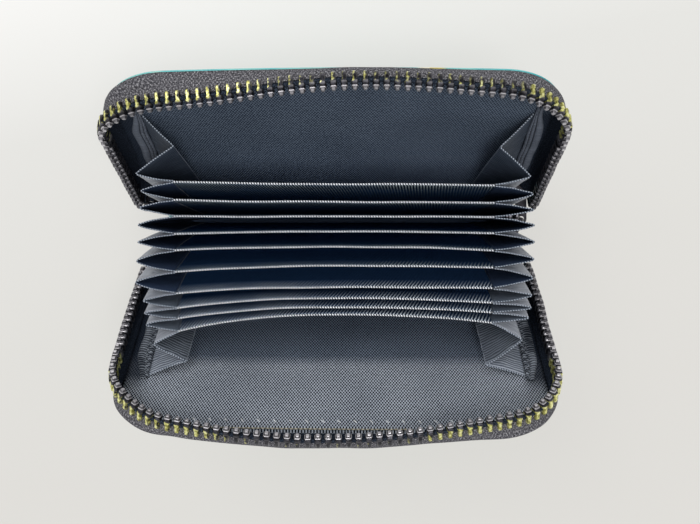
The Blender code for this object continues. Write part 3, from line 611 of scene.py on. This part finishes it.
def teeth_place(side, x, up):
    """Outwards, inwards and tilt of the teeth at a place, and its shares of side, corner and bulge."""
    flank, left, right, top = TEETH[side]
    centre, half_span, power = BULGE[side]
    near_top = ease((up - HEIGHTS[side] + CORNER) / CORNER)
    bulge = near_top * math.cos(math.pi / 2 * min(abs(x - centre) / half_span, 1.0)) ** power
    corner = left if x < centre else right
    shares = (1 - near_top, near_top - bulge, bulge)
    return [sum(k * v for k, v in zip(shares, p)) for p in zip(flank, corner, top)], shares


def zip_stations(side, start_right, start_left, inset):
    """Dense stations along a cover's zip: (foot, middle of the teeth, way they point, outwards, shares)."""
    line = right_edge(side, start_right, inset) + mirrored(right_edge(side, start_left, inset))
    edge = []
    for (x0, u0), (x1, u1) in zip(line, line[1:]):
        pieces = max(1, round(math.hypot(x1 - x0, u1 - u0)))
        for i in range(pieces):
            t = i / pieces
            edge.append(Vector((x0 + (x1 - x0) * t, u0 + (u1 - u0) * t)))
    edge.append(Vector(line[-1]))
    found = []
    for i, p in enumerate(edge):
        along = heading(edge, i)
        outward = Vector((along.y, -along.x, 0.0))
        (push, inward, tilt), shares = teeth_place(side, p.x, p.y)
        # near the spine the zip hangs straighter than the cover's waist
        push += 0.75 * (COVER_HALF - side_half(p.y))
        if p.x < 0.0:
            # its left end tucks in under the pleats
            push -= 7.5 * ease((16.0 - p.y) / 9.0)
        wave = 0.22 * wob(p.x, p.y, 0.0, 9.0, side * 5.0)
        middle = Vector((p.x, p.y, inward + 0.5 * wave)) + outward * (inset + push + wave)
        turn = math.radians(tilt)
        reach = outward * math.sin(turn) + Vector((0.0, 0.0, math.cos(turn)))
        found.append((Vector((p.x, p.y, -0.1)), middle, reach, outward, Vector(shares)))
    return found


def resample(stations, spacing, offset):
    """Stations at equal steps along the teeth: (foot, middle, reach, along, outwards, shares)."""
    found, goal, passed = [], offset, 0.0
    for a, b in zip(stations, stations[1:]):
        length = (b[1] - a[1]).length
        along = (b[1] - a[1]).normalized()
        while goal <= passed + length:
            t = (goal - passed) / length
            foot, middle, reach, outward, shares = [u.lerp(v, t) for u, v in zip(a, b)]
            reach = (reach - along * reach.dot(along)).normalized()
            found.append((foot, middle, reach, along, outward, shares))
            goal += spacing
        passed += length
    return found


def local(side, p):
    """World point in mm of a place in cover terms (x, up, inward)."""
    return cover_point(side, p.x, p.y, p.z)


# Bow of each divider's ends towards the front, left and right, in mm at its top
BOWS = (
    (-0.6, 0.3), (-0.4, 0.2), (0.0, 0.1), (0.5, 0.5), (0.9, 0.9),
    (1.5, 0.5), (1.6, 0.3), (2.9, 1.3), (3.3, 1.7), (4.9, 2.4),
)


def divider_point(number, x, up, off=0.0):
    """Point in mm on a divider, off its middle towards the back."""
    lean = math.radians(LEANS[number - 1])
    left, right = BOWS[number - 1]
    share = up / DIVIDER_HEIGHT
    bow = (left if x < 0 else right) * (abs(x) / DIVIDER_HALF) ** 2.2 * share**1.3
    wave = 0.18 * wob(x, number * 17.0, up * 0.6, 16.0, number) * share
    w = off - bow + wave
    y = (5.5 - number) * PITCH_Y + up * math.sin(lean) + w * math.cos(lean)
    return Vector((x, y, DIVIDER_FOOT + up * math.cos(lean) - w * math.sin(lean)))


def seam_point(number, end, up, off):
    """Where a pleat or gusset is sewn to the end of a divider."""
    p = divider_point(number, end * DIVIDER_HALF, up, off)
    return Vector((end * SEAM_X, p.y, p.z))


def panel(number):
    """Body that a divider belongs to."""
    return "spine" if number == 5 else "panel_%02d" % number


def lining_up(z):
    """How far up a cover its lining's face is at a height over the table."""
    return (z - FOLD_Z - LINING_FACE * math.sin(SLOPE)) / math.cos(SLOPE)


def plane_normal(lean):
    """Normal towards the back of a plane that leans so many degrees."""
    return Vector((0, math.cos(math.radians(lean)), -math.sin(math.radians(lean))))


def wedge(a, b, normal, least=0.0):
    """Start and end in metres of the way from a to b along a normal, at least twice this long in mm."""
    half = max(abs((b - a).dot(normal)) / 2, least)
    mid = (a + b) / 2
    return (mid - normal * half) * MM, (mid + normal * half) * MM


def front_wedge(tilt):
    """The wedge between the last divider's plane and the front cover, across tilt degrees."""
    a = divider_point(10, 0.0, 46.5)
    b = cover_point(FRONT, 0.0, lining_up(a.z), LINING_FACE)
    return wedge(a, b, -plane_normal(tilt))


# Covers


def plate(name, side, profile):
    """Flat piece in the outline of a cover. profile is its edge, as (start, inset, inwards) in mm."""
    rings = []
    for start, inset, inward in profile:
        rings.append([cover_point(side, x, up, inward) for x, up in outline(side, start, inset)])
    return cap(grid(name, rings, close=True), len(rings[0]))


def make_shell(word, side):
    """Printed outer skin with rounded edges, and the roll that turns on the fold."""
    edge = (
        (3.0, -1.00), (1.2, -1.01), (0.45, -0.96), (0.12, -0.80), (0.0, -0.60),
        (0.1, -0.42), (0.4, -0.30), (1.6, -0.28),
    )
    body = plate(word + "_shell_body", side, [(inset * 0.4, inset, out) for inset, out in edge])
    line = [cover_point(side, x, 0.0, 0.0) for x in np.linspace(-FOLD_HALF, FOLD_HALF, 24)]
    roll = tube(word + "_shell_roll", line, 1.08, 18)
    shell = join(word + "_cover_skin", [paint(body, "print"), paint(roll, "print")])
    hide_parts(word + "_shell")
    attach(shell, word + "_cover")


def make_board(word, side):
    """Stiff board between skin and lining, in the cover's own slightly sagging outline."""
    edge = (
        (5.0, 4.0, 0.22), (3.2, 2.1, 0.24), (3.0, 1.9, 0.4),
        (3.0, 1.9, 0.8), (3.2, 2.1, 0.96), (5.0, 4.0, 0.98),
    )
    board = paint(plate(word + "_stiff_board", side, edge), "board")
    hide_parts(word + "_board")
    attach(board, word + "_cover")


def make_lining(word, side):
    """Lining glued over the board, a little uneven, turned down at its edge."""
    inset = 0.75
    top = HEIGHTS[side] - inset
    centre = HEIGHTS[side] - CORNER
    ups = list(np.linspace(1.6, centre, 26))
    ups += [centre + (top - centre) * math.sin(w) for w in np.linspace(0.1, math.pi / 2, 16)]
    ts = [-1.0, -0.992, -0.98] + list(np.linspace(-0.96, 0.96, 49)) + [0.98, 0.992, 1.0]
    rows, uv = [], []
    for up in ups:
        half = row_half(side, up, inset)
        row = []
        for t in ts:
            x = half * t
            swell = 0.20 * wob(x, up, 0.0, 24.0, side * 2.0) + 0.07 * wob(x, up, 4.0, 6.0, 1.0)
            inside = min((1 - abs(t)) * half, top - up)
            inward = 0.35 + 1.2 * ease(inside / 0.8) + swell * ease(inside / 4.0)
            row.append(cover_point(side, x, up, inward))
        rows.append(row)
        uv.append([(half * t * MM, up * MM) for t in ts])
    lining = solid(grid(word + "_lining_cloth", rows, uv), 0.3)
    paint(lining, "lining_" + word)
    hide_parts(word + "_lining")
    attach(lining, word + "_cover")
    cloth_cut(rows)

    # Thin piping where the cover's turned edge meets the lining, and the front's run of stitches under it
    line = [cover_point(side, x, HEIGHTS[side] - 1.15, 1.55) for x in np.linspace(-34.0, 20.0, 60)]
    pieces = [paint(tube(word + "_piping", line, 0.2, 6), "piping")]
    if side == FRONT:
        pieces += stitches()
    seam = join(word + "_edge_seam", pieces)
    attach(seam, word + "_cover")


def stitches():
    """Slanting stitches in a row along the front lining's top edge."""
    up, half_length = HEIGHTS[FRONT] - 3.6, 0.62
    made = []
    for number, x in enumerate(np.linspace(34.0, -35.7, 18), 1):
        slant = 1.3 + 0.6 * wob(number, FRONT, 0.0, 1.3, 2.0)
        q = Vector((-1.0, -slant)).normalized() * half_length
        line = []
        for k in (-1, -0.5, 0, 0.5, 1):
            line.append(cover_point(FRONT, x + k * q.x, up + k * q.y, 1.66 + 0.16 * (1 - k * k)))
        made.append(paint(tube("stitch", line, 0.17, 6), "stitch"))
    return made


def tape_belly(side, x, corner):
    """How far the tape bulges outwards at a place that has this share of a corner."""
    if side == BACK:
        return 0.15 + corner * (1.5 * ease((-x - 40.0) / 6.0) + 0.5 * ease((x - 46.0) / 6.0))
    return 0.75 + corner * (0.5 - 0.75 * math.exp(-(((x + 41.0) / 4.0) ** 2)))


def make_tape(word, side):
    """Zip tape: it wraps the cover's edge, curves inwards and ends under the teeth."""
    stations = resample(zip_stations(side, 11.0, 5.0, 0.15), 0.9, 0.0)
    runs = lengths([station[1] for station in stations])
    rows, uv = [], []
    for run, (foot, middle, reach, along, outward, shares) in zip(runs, stations):
        end = middle - reach * 2.6
        length = (end - foot).length
        bend = end - reach * (length * 0.45)
        belly = tape_belly(side, foot.x, shares.y)
        across = along.cross(reach).normalized()
        row, ruv = [foot - outward * 1.6 + Vector((0, 0, 0.42))], [(run * MM, -0.0016)]
        for t in (0.0, 0.1, 0.22, 0.36, 0.52, 0.68, 0.84, 1.0):
            p = foot.lerp(bend, t).lerp(bend.lerp(end, t), t)
            p = p + outward * (belly * math.sin(math.pi * min(t * 1.35, 1.0)))
            p = p + across * (0.22 * math.sin(math.pi * t) * wob(foot.x, foot.y, t * 8.0, 7.0, side))
            row.append(p)
            ruv.append((run * MM, length * t * MM))
        row.append(middle - reach * 1.2)
        ruv.append((run * MM, (length + 1.4) * MM))
        rows.append([local(side, p) for p in row])
        uv.append(ruv)
    tape = grid(word + "_tape_cloth", rows, uv)
    # the inner face takes a painted-shade copy of the tape's weave
    faces = ("tape", "tape_painted_shade") if side == FRONT else ("tape_painted_shade", "tape")
    tape = solid(paint(tape, *faces), 0.5, second=1)
    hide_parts(word + "_zip_tape")
    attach(tape, word + "_cover")
    cloth_cut(rows)


# One tooth, from the ends of its legs to its tip: reach, half width, half thickness, how much of the
# leg's worn brass it shows, and how bright the painted highlight on its edge is
TOOTH = (
    (-2.50, 0.26, 0.60, 0.8, 0.7),
    (-2.36, 0.44, 0.96, 1.0, 0.6),
    (-2.05, 0.54, 1.18, 1.0, 0.1),
    (-1.00, 0.56, 1.20, 1.0, 0.0),
    (-0.30, 0.52, 1.20, 1.0, 0.0),
    (0.02, 0.72, 1.18, 1.0, 0.0),
    (0.22, 0.80, 1.12, 0.85, 0.15),
    (0.74, 0.82, 0.98, 0.25, 0.0),
    (0.94, 0.60, 0.80, 0.0, 0.0),
    (1.14, 0.60, 0.78, 0.0, 0.0),
    (1.22, 0.78, 0.80, 0.0, 0.3),
    (1.42, 0.78, 0.76, 0.0, 1.0),
    (1.52, 0.64, 0.62, 0.0, 0.15),
    (2.00, 0.46, 0.50, 0.0, 0.25),
    (2.12, 0.34, 0.38, 0.0, 0.9),
)
OCTAGON = ((1, 0.62), (0.72, 1), (-0.72, 1), (-1, 0.62), (-1, -0.62), (-0.72, -1), (0.72, -1), (1, -0.62))


def tooth_mesh(bm, layers, centre, along, reach, across, brass, flank):
    """One tooth: two legs that grip the tape, shoulders, a neck, and the tip with a painted highlight on its
    edge.

    On the flanks the painted highlight lies on the neck and the tip's is dimmer.
    """
    rings = []
    for u, half, thick, share, edge in TOOTH:
        if flank:
            # on the flanks the painted highlight moves to the neck
            edge = 0.9 if 0.5 < u < 1.2 else 0.35 * edge
        ring = []
        for a, b in OCTAGON:
            v = bm.verts.new(centre + reach * u + along * (half * a) + across * (thick * b))
            # painted highlight on the legs' side edges where little brass shows
            bright = u < 0 and abs(a) == 1 and brass < 0.6 and not flank
            # worn brass, shown less on one side of each leg: a painted reflection
            v[layers[0]] = brass * share * (1.0 if a > 0 else 0.45)
            v[layers[1]] = min(edge + (0.7 if bright else 0.0), 1.0)
            ring.append(v)
        rings.append(ring)
    for low, high in zip(rings, rings[1:]):
        for k in range(len(OCTAGON)):
            j = (k + 1) % len(OCTAGON)
            bm.faces.new((low[k], low[j], high[j], high[k]))
    bm.faces.new(rings[0])
    bm.faces.new(rings[-1])


def brass_share(side, x, up):
    """How far the plating has worn off the legs: most at the corners, least in the middle of each row."""
    if up < 52.0:
        return 0.1
    if side == BACK:
        return 0.42 + 0.26 * ease((-8.0 - x) / 22.0) + 0.24 * ease((x - 44.0) / 6.0)
    return 0.3 + 0.7 * ease((abs(x + 2.0) - 20.0) / 12.0)


def zip_axes(side, middle, reach, along):
    """World place of a station of the zip, and its ways along the zip and out of it."""
    c = local(side, middle)
    a = (local(side, middle + along) - c).normalized()
    r = (local(side, middle + reach) - c).normalized()
    return c, a, r


def make_teeth(word, side):
    """Row of metal teeth, each its own shape, with its top stop."""
    teeth = resample(zip_stations(side, 13.5, 8.0, TEETH_INSET), TOOTH_PITCH, TOOTH_PITCH / 2)
    bm = bmesh.new()
    layers = (bm.verts.layers.float.new("a_brass"), bm.verts.layers.float.new("a_edge"))
    for number, (_, middle, reach, along, _, _) in enumerate(teeth):
        c, a, r = zip_axes(side, middle, reach, along)
        w = a.cross(r).normalized()
        r = w.cross(a).normalized()
        lean = 0.05 * wob(number * 3.1, side, 0.0, 1.0, 5.0)
        a = (a + r * lean * 0.6 + w * 0.05 * wob(number * 1.7, side, 0.0, 1.0, 8.0)).normalized()
        r = (r + w * lean).normalized()
        w = a.cross(r).normalized()
        worn = brass_share(side, middle.x, middle.y) + 0.12 * wob(number, 0, 0, 1.3, 9.0)
        worn = min(max(worn, 0.0), 1.0)
        tooth_mesh(bm, layers, c * MM, a * MM, r * MM, w * MM, worn, middle.y < 50.0)
    face_outwards(bm)
    mesh = bpy.data.meshes.new(word + "_teeth_metal")
    bm.to_mesh(mesh)
    bm.free()
    obj = paint(new_object(word + "_teeth_metal", mesh), "metal")
    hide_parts(word + "_zip_teeth")
    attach(obj, word + "_cover")

    _, middle, reach, along, _, _ = teeth[-1]
    _, a, r = zip_axes(side, middle, reach, along)
    w = a.cross(r)
    rows = []
    for t, share in ((0, 0.72), (0.06, 0.92), (0.2, 1), (0.5, 1), (0.8, 1), (0.94, 0.92), (1, 0.72)):
        p = local(side, middle + along * (1.55 + 2.8 * t))
        rows.append([p + r * (1.5 * high * share) + w * (1.05 * wide * share) for high, wide in OCTAGON])
    stop = paint(cap(grid(word + "_top_stop", rows, close=True), len(OCTAGON)), "slider")
    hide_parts(word + "_zip_top_stop")
    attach(stop, word + "_cover")


def make_cord(word, side):
    """Cord of the tape that the teeth clasp."""
    dense = resample(zip_stations(side, 12.0, 6.0, TEETH_INSET), 1.2, 0.0)
    line = [local(side, middle - reach * 0.5) for _, middle, reach, _, _, _ in dense]
    # the cord takes the tape's painted-shade copy
    cord = paint(tube(word + "_tape_bead", line, 0.6, 8), "tape_painted_shade")
    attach(cord, word + "_cover")


# Dividers and pleats


def flatten(obj, number):
    """Gives a piece with a bow its own copy of its mesh. A point on its divider is worked out and not used.
    """
    divider_point(number, 0.0, 30.0) * MM
    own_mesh(obj)


def make_divider(number):
    """Folded cloth panel with a rolled top edge."""
    name = "divider_%02d" % number
    body = panel(number)
    ups = (0, 4, 9, 15, 21, 27, 33, 38, 42, 43.4, 43.7, 45, 47, 48.6, 49.3)
    xs = np.linspace(-DIVIDER_HALF, DIVIDER_HALF, 61)
    rows, uv = [], []
    for face, way_round in ((-1, ups), (1, ups[::-1])):
        for up in way_round:
            thick = 0.2 + 0.1 * ease((up - 43.2) / 0.5)
            rows.append([divider_point(number, x, up, face * thick) for x in xs])
            uv.append([((x + 100 + 0.37 * number) * MM, up * MM) for x in xs])
    cloth = grid(name + "_body", rows, uv)
    paint(cloth, "divider_back" if number < 4 else "divider" if number < 7 else "divider_front")
    line = [divider_point(number, x, 49.5) for x in np.linspace(-DIVIDER_HALF, DIVIDER_HALF, 121)]
    roll = paint(tube(name + "_roll", line, (0.25, 0.28), 8), "rope")
    obj = join(name + "_cloth", [cloth, roll])
    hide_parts(name)
    if number == 10:
        front_wedge(LEANS[9])
        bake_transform(obj)
    else:
        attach(obj, body)
    if number in (8, 9):
        flatten(obj, number)
    cloth_cut(rows)


# How far out the fold of each pleat is
TIPS = {
    LEFT: (50.0, 50.4, 50.9, 51.1, 51.6, 52.2, 50.5, 50.4, 50.1),
    RIGHT: (51.3, 51.5, 51.8, 51.9, 51.9, 51.8, 51.8, 51.8, 51.3),
}


def pleat_seams(number, end, up):
    """Where a pleat is sewn to its divider and to the next one."""
    return seam_point(number, end, up, -0.22), seam_point(number + 1, end, up, 0.22)


def pleat_rows(number, end):
    """Rows of a V fold, from its divider to the next one."""
    steps = (0.0, 0.1, 0.25, 0.42, 0.6, 0.78, 0.9)
    rows = []
    for up in (1, 4, 8, 12, 16, 20, 24, 28, 32, 36, 40, 43, 46, 48, 49, 49.6):
        b, f = pleat_seams(number, end, up)
        mid = (b + f) / 2
        spread = (b - f).length
        way = (b - f).normalized()
        reach = (TIPS[end][number - 1] - TIP_ROUND) * (0.9 + 0.1 * ease((up - 2.0) / 26.0))
        tip = Vector((end * reach, mid.y, mid.z))
        half = way * max(0.22, 0.07 * spread)
        belly = way * (0.06 * spread)
        row = [b.lerp(tip + half, t) + belly * math.sin(math.pi * t) for t in steps]
        for share, out in ((0.9, 0.02), (0.35, TIP_ROUND), (-0.35, TIP_ROUND), (-0.9, 0.02)):
            row.append(tip + half * share + Vector((end * out, 0, 0)))
        row += [f.lerp(tip - half, t) - belly * math.sin(math.pi * t) for t in steps[::-1]]
        top = ease(up / 46.0)
        n = len(row) / 2
        crumpled = []
        for k, p in enumerate(row):
            s = math.sin(math.pi * abs(k - n + 0.5) / n)
            crease = wob(p.x, k * 2.0, up, 7.0, number * 1.7 + end)
            crumpled.append(p + way * (0.22 * s * top * crease))
        rows.append(crumpled)
    return rows


def make_pleat(number, end):
    """V fold between the ends of a divider and the next one."""
    word = "right" if end == RIGHT else "left"
    name = "pleat_%s_%02d" % (word, number)
    rows = pleat_rows(number, end)
    cloth = grid(name + "_v", rows)
    # inner faces take a painted-shade copy of the pleat cloth; the front pleats' copy is painted lighter, as
    # painted light
    inside = "pleat_lit" if number > 6 else "pleat_painted_shade"
    faces = (inside, "pleat") if end == RIGHT else ("pleat", inside)
    cloth = solid(paint(cloth, *faces), 0.26, second=1)
    edge = tube(name + "_edge", [p + Vector((0, 0, 0.02)) for p in rows[-1]], 0.16, 6)
    obj = join(name + "_cloth", [cloth, paint(edge, "pleat_edge")])
    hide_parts(name)
    a, b = panel(number), panel(number + 1)
    if number == 9:
        front_wedge(LEANS[9])
        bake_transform(obj)
    elif number in (7, 8):
        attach(obj, b)
        flatten(obj, number + 1)
    else:
        back, front = pleat_seams(number, end, 49.0)
        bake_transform(obj)
    cloth_cut(rows)


# Gusset corners at the top edge, in mm: x of the cover seam, inner fold (x, y), outer tip (x, y)
GUSSETS = {
    (BACK, LEFT): (49.5, (41.4, 26.8), (51.6, 19.6)),
    (BACK, RIGHT): (51.0, (42.6, 26.5), (50.9, 18.9)),
    (FRONT, LEFT): (50.0, (39.6, -30.4), (48.6, -25.8)),
    (FRONT, RIGHT): (51.0, (40.2, -31.4), (50.0, -24.5)),
}
GUSSET_FOOT, GUSSET_TOP = 2.0, 49.4
# x of the inner fold at the foot, and its number among the points of a row
FOOT_FOLD_X, FOLD_AT = 38.0, 16


def flare(up):
    """Share of its full width that a gusset has at a height."""
    return 0.9 + 0.1 * ease(up / 28.0)


def seam_strip(name, word, side, end, seam_x):
    """Ruffled seam and ribbed binding that run down the cover beside a gusset."""
    # (distance from the seam, height over the lining, share of the ruffle, share of the ribs)
    section = (
        (0.0, 0.1, 0, 0), (0.25, 0.55, 0.6, 0), (0.6, 0.8, 1, 0), (0.95, 0.6, 0.5, 0), (1.2, 0.5, 0.5, 0),
        (1.5, 0.75, -1, 0), (1.8, 0.5, -0.5, 0), (2.05, 0.1, 0, 0), (2.3, 0.35, 0, 0.6), (2.9, 0.5, 0, 1),
        (3.6, 0.5, 0, 1), (4.1, 0.35, 0, 0.6), (4.3, 0.05, 0, 0),
    )
    foot = 16.0 if end == RIGHT else 7.0
    top = 60.0 if side == BACK else 56.0
    rib_depth = 0.08 if side == BACK else 0.16
    rows = []
    for up in np.arange(foot, top, 0.3):
        narrow = 1.0 - 0.55 * ease((up - 46.0) / 12.0)
        seam = seam_x * flare(up) + 0.2 + 0.35 * wob(0.0, up, side, 7.0, end * 3.0)
        ruffled = 0.22 * math.sin(2 * math.pi * up / 1.5 + 0.6 * wob(0.0, up, 3.0, 2.0))
        ribbed = rib_depth * math.sin(2 * math.pi * up / RIB_PITCH)
        row = []
        for off, high, ruffle, rib in section:
            inward = 1.72 + high + ruffled * ruffle + ribbed * rib
            row.append(cover_point(side, end * (seam + off * narrow), up, inward))
        rows.append(row)
    strip = paint(grid(name, rows), "binding_" + word)
    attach(strip, word + "_cover")
    cloth_cut(rows)


def gusset_rows(number, side, end):
    """Rows of a W fold from the end of a divider to the cover."""
    seam_x, (fold_x, fold_y), (tip_x, tip_y) = GUSSETS[(side, end)]
    top = seam_point(number, end, GUSSET_TOP, side * 0.25)
    top_up = (top.z - FOLD_Z - 0.99) / math.cos(SLOPE)
    span = cover_point(side, 0, top_up, LINING_FACE).y - top.y
    tip_at, fold_at = (tip_y - top.y) / span, (fold_y - top.y) / span
    way = Vector((0, side, 0))
    rows = []
    for up in (GUSSET_FOOT, 5, 9, 13, 17, 21, 25, 29, 33, 37, 41, 44, 46.5, 48.4, GUSSET_TOP):
        g = (up - GUSSET_FOOT) / (GUSSET_TOP - GUSSET_FOOT)
        sewn = seam_point(number, end, up, side * 0.25)
        z = sewn.z
        cover_y = cover_point(side, 0, lining_up(z), LINING_FACE).y
        gap = cover_y - sewn.y
        folded_x = FOOT_FOLD_X + (fold_x - FOOT_FOLD_X) * g
        tip = Vector((end * tip_x * flare(up), sewn.y + gap * (tip_at * g + 0.34 * (1 - g)), z))
        fold = Vector((end * folded_x, sewn.y + gap * (fold_at * g + 0.67 * (1 - g)), z))
        seam = Vector((end * seam_x * flare(up), cover_y, z))
        row = []
        for a, b, bend in ((sewn, tip, -0.25), (tip, fold, 0.3), (fold, seam, -0.3)):
            for t in (0.0, 0.08, 0.22, 0.4, 0.58, 0.75, 0.88, 0.96):
                arc = g * math.sin(math.pi * t)
                q = a.lerp(b, t) + way * (bend * arc)
                row.append(q + way * (0.45 * arc * wob(q.x, q.y, z, 8.0, side * 3.0 + end)))
        row.append(seam)
        # round the two folds
        soft = [p * 0.6 + (before + after) * 0.2 for before, p, after in zip(row, row[1:], row[2:])]
        rows.append([row[0], *soft, row[-1]])
    return rows


def make_gusset(word, side, end):
    """W fold between the outer divider and the cover, with its seam on the lining."""
    name = "gusset_%s_%s" % (word, "right" if end == RIGHT else "left")
    number = 1 if side == BACK else 10
    rows = gusset_rows(number, side, end)
    # the mesh faces outwards or inwards by hand and side; both faces of each panel get their cloth
    cloth = grid(name + "_w", rows)
    outwards = end * side > 0
    # inner faces take a copy of the cloth in painted shade; on the front the copy is painted lighter, with
    # painted shade between its ribs
    inner = "gusset_painted_shade" if side == BACK else "gusset_fold_painted_light_and_shade"
    paint(cloth, "pleat", inner, "gusset_" + word, inner, "pleat")
    for k, face in enumerate(cloth.data.polygons):
        if k % (len(rows[0]) - 1) < FOLD_AT:
            face.material_index = 0 if outwards else 3
        else:
            face.material_index = 1 if outwards == (side == BACK) else 2
    cloth = solid(cloth, 0.28, second=1)
    edge = paint(tube(name + "_edge", rows[-1], 0.18, 6), "pleat_edge")
    crease = tube(name + "_crease", [row[FOLD_AT] for row in rows[4:]], 0.14, 6)
    obj = join(name + "_cloth", [cloth, edge, paint(crease, "gusset_" + word)])
    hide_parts(name)
    if side == FRONT:
        ends = front_wedge((LEANS[9] - OPEN_DEG) / 2)
    else:
        ends = wedge(rows[-3][0], rows[-3][-1], plane_normal((LEANS[0] + OPEN_DEG) / 2))
    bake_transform(obj)
    cloth_cut(rows)
    seam_strip(name + "_binding", word, side, end, GUSSETS[(side, end)][0])


# Spine and small metal


def make_spine():
    """Lining of the spine, under the feet of the dividers."""
    xs = np.linspace(-52.4, 52.4, 49)
    rows, uv = [], []
    for y in np.linspace(-8.2, 8.2, 9):
        rows.append([Vector((x, y, 1.5 + 0.05 * wob(x, y, 0, 8.0))) for x in xs])
        uv.append([(x * MM, y * MM) for x in xs])
    # the spine lining takes the pleat cloth's painted-shade copy
    cloth = paint(solid(grid("spine_lining_cloth", rows, uv), 0.3), "pleat_painted_shade")
    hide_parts("spine_lining")
    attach(cloth, "spine")
    cloth_cut(rows)


def dress_nodes():
    """Gives the frame's own pieces that stay in sight their looks."""
    for name in ("spine_shell", "zip_tail", "zip_bottom_stop", "slider_body", "pull_tab"):
        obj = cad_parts[name]
        look = M["print" if name == "spine_shell" else "slider"]
        for slot in obj.material_slots:
            slot.material = look
        if not obj.material_slots:
            obj.data.materials.append(look)


# Stage, light and camera


def make_floor():
    """Pale table. Seen straight, it is a little paler at the back left than at the front right: a painted
    glow, painted light that stands in for the lamps' fall-off.
    """
    n = Nodes("table_top")
    n.finish("efefec", 0.6, spec=0.25)
    axes = n.node("ShaderNodeSeparateXYZ")
    n.put(axes.inputs[0], n.place())
    slope = n.add(n.mul(axes.outputs[1], 3.0), n.mul(axes.outputs[0], -0.6))
    painted_tones = ((0.30, "d3d0cb"), (0.45, "d5d3ce"), (0.64, "dcdbd7"), (0.80, "f8f7f5"))
    # painted light: the camera sees a glow that fades from back left to front right
    glow = n.feed(n.node("ShaderNodeEmission"), n.ramp(n.add(slope, 0.5), *painted_tones))
    straight = n.mul(n.node("ShaderNodeLightPath").outputs["Is Camera Ray"], 0.75)
    blend = n.feed(n.node("ShaderNodeMixShader"), straight, n.bsdf.outputs[0], glow)
    n.put(n.tree.nodes["Material Output"].inputs[0], blend)
    half, z = 3.0, -0.0002
    mesh = bpy.data.meshes.new("floor")
    corners = [(-half, -half, z), (half, -half, z), (half, half, z), (-half, half, z)]
    mesh.from_pydata(corners, [], [(0, 1, 2, 3)])
    mesh.materials.append(n.mat)
    floor = new_object("floor", mesh)


def make_lamp(name, at, size, power):
    data = bpy.data.lights.new(name, "AREA")
    data.shape = "SQUARE"
    data.size = size
    data.energy = power
    obj = new_object(name, data)
    obj.location = at
    way = Vector((0, 0, 0.03)) - Vector(at)
    obj.rotation_euler = way.to_track_quat("-Z", "Y").to_euler()


def make_stage():
    make_floor()
    scene = bpy.context.scene
    world = bpy.data.worlds.new("studio")
    scene.world = world
    world.use_nodes = True
    background = world.node_tree.nodes["Background"]
    background.inputs[0].default_value = (1.0, 1.0, 1.0, 1.0)
    background.inputs[1].default_value = 0.62
    make_lamp("key", (-0.45, 0.55, 1.0), 0.7, 4.2)
    make_lamp("fill", (0.12, -0.05, 1.0), 0.35, 4.6)

    cam = bpy.data.cameras.new("camera")
    cam.sensor_width = 36.0
    cam.lens = FOCAL_PX / IMAGE_W * cam.sensor_width
    cam.clip_start = 0.01
    obj = new_object("camera", cam)
    obj.location = (0.0040, 0.0282, 0.275)
    obj.rotation_euler = (math.radians(-8.0), 0.0, 0.0)
    scene.camera = obj
    scene.view_settings.view_transform = "Standard"


# Make everything

SIDES = ((BACK, "back"), (FRONT, "front"))
for side, word in SIDES:
    make_shell(word, side)
    make_board(word, side)
    make_lining(word, side)
    make_tape(word, side)
    make_teeth(word, side)
    make_cord(word, side)
for number in range(1, 11):
    make_divider(number)
for number in range(1, 10):
    for end in (LEFT, RIGHT):
        make_pleat(number, end)
for side, word in SIDES:
    for end in (LEFT, RIGHT):
        make_gusset(word, side, end)
make_spine()
dress_nodes()
make_stage()
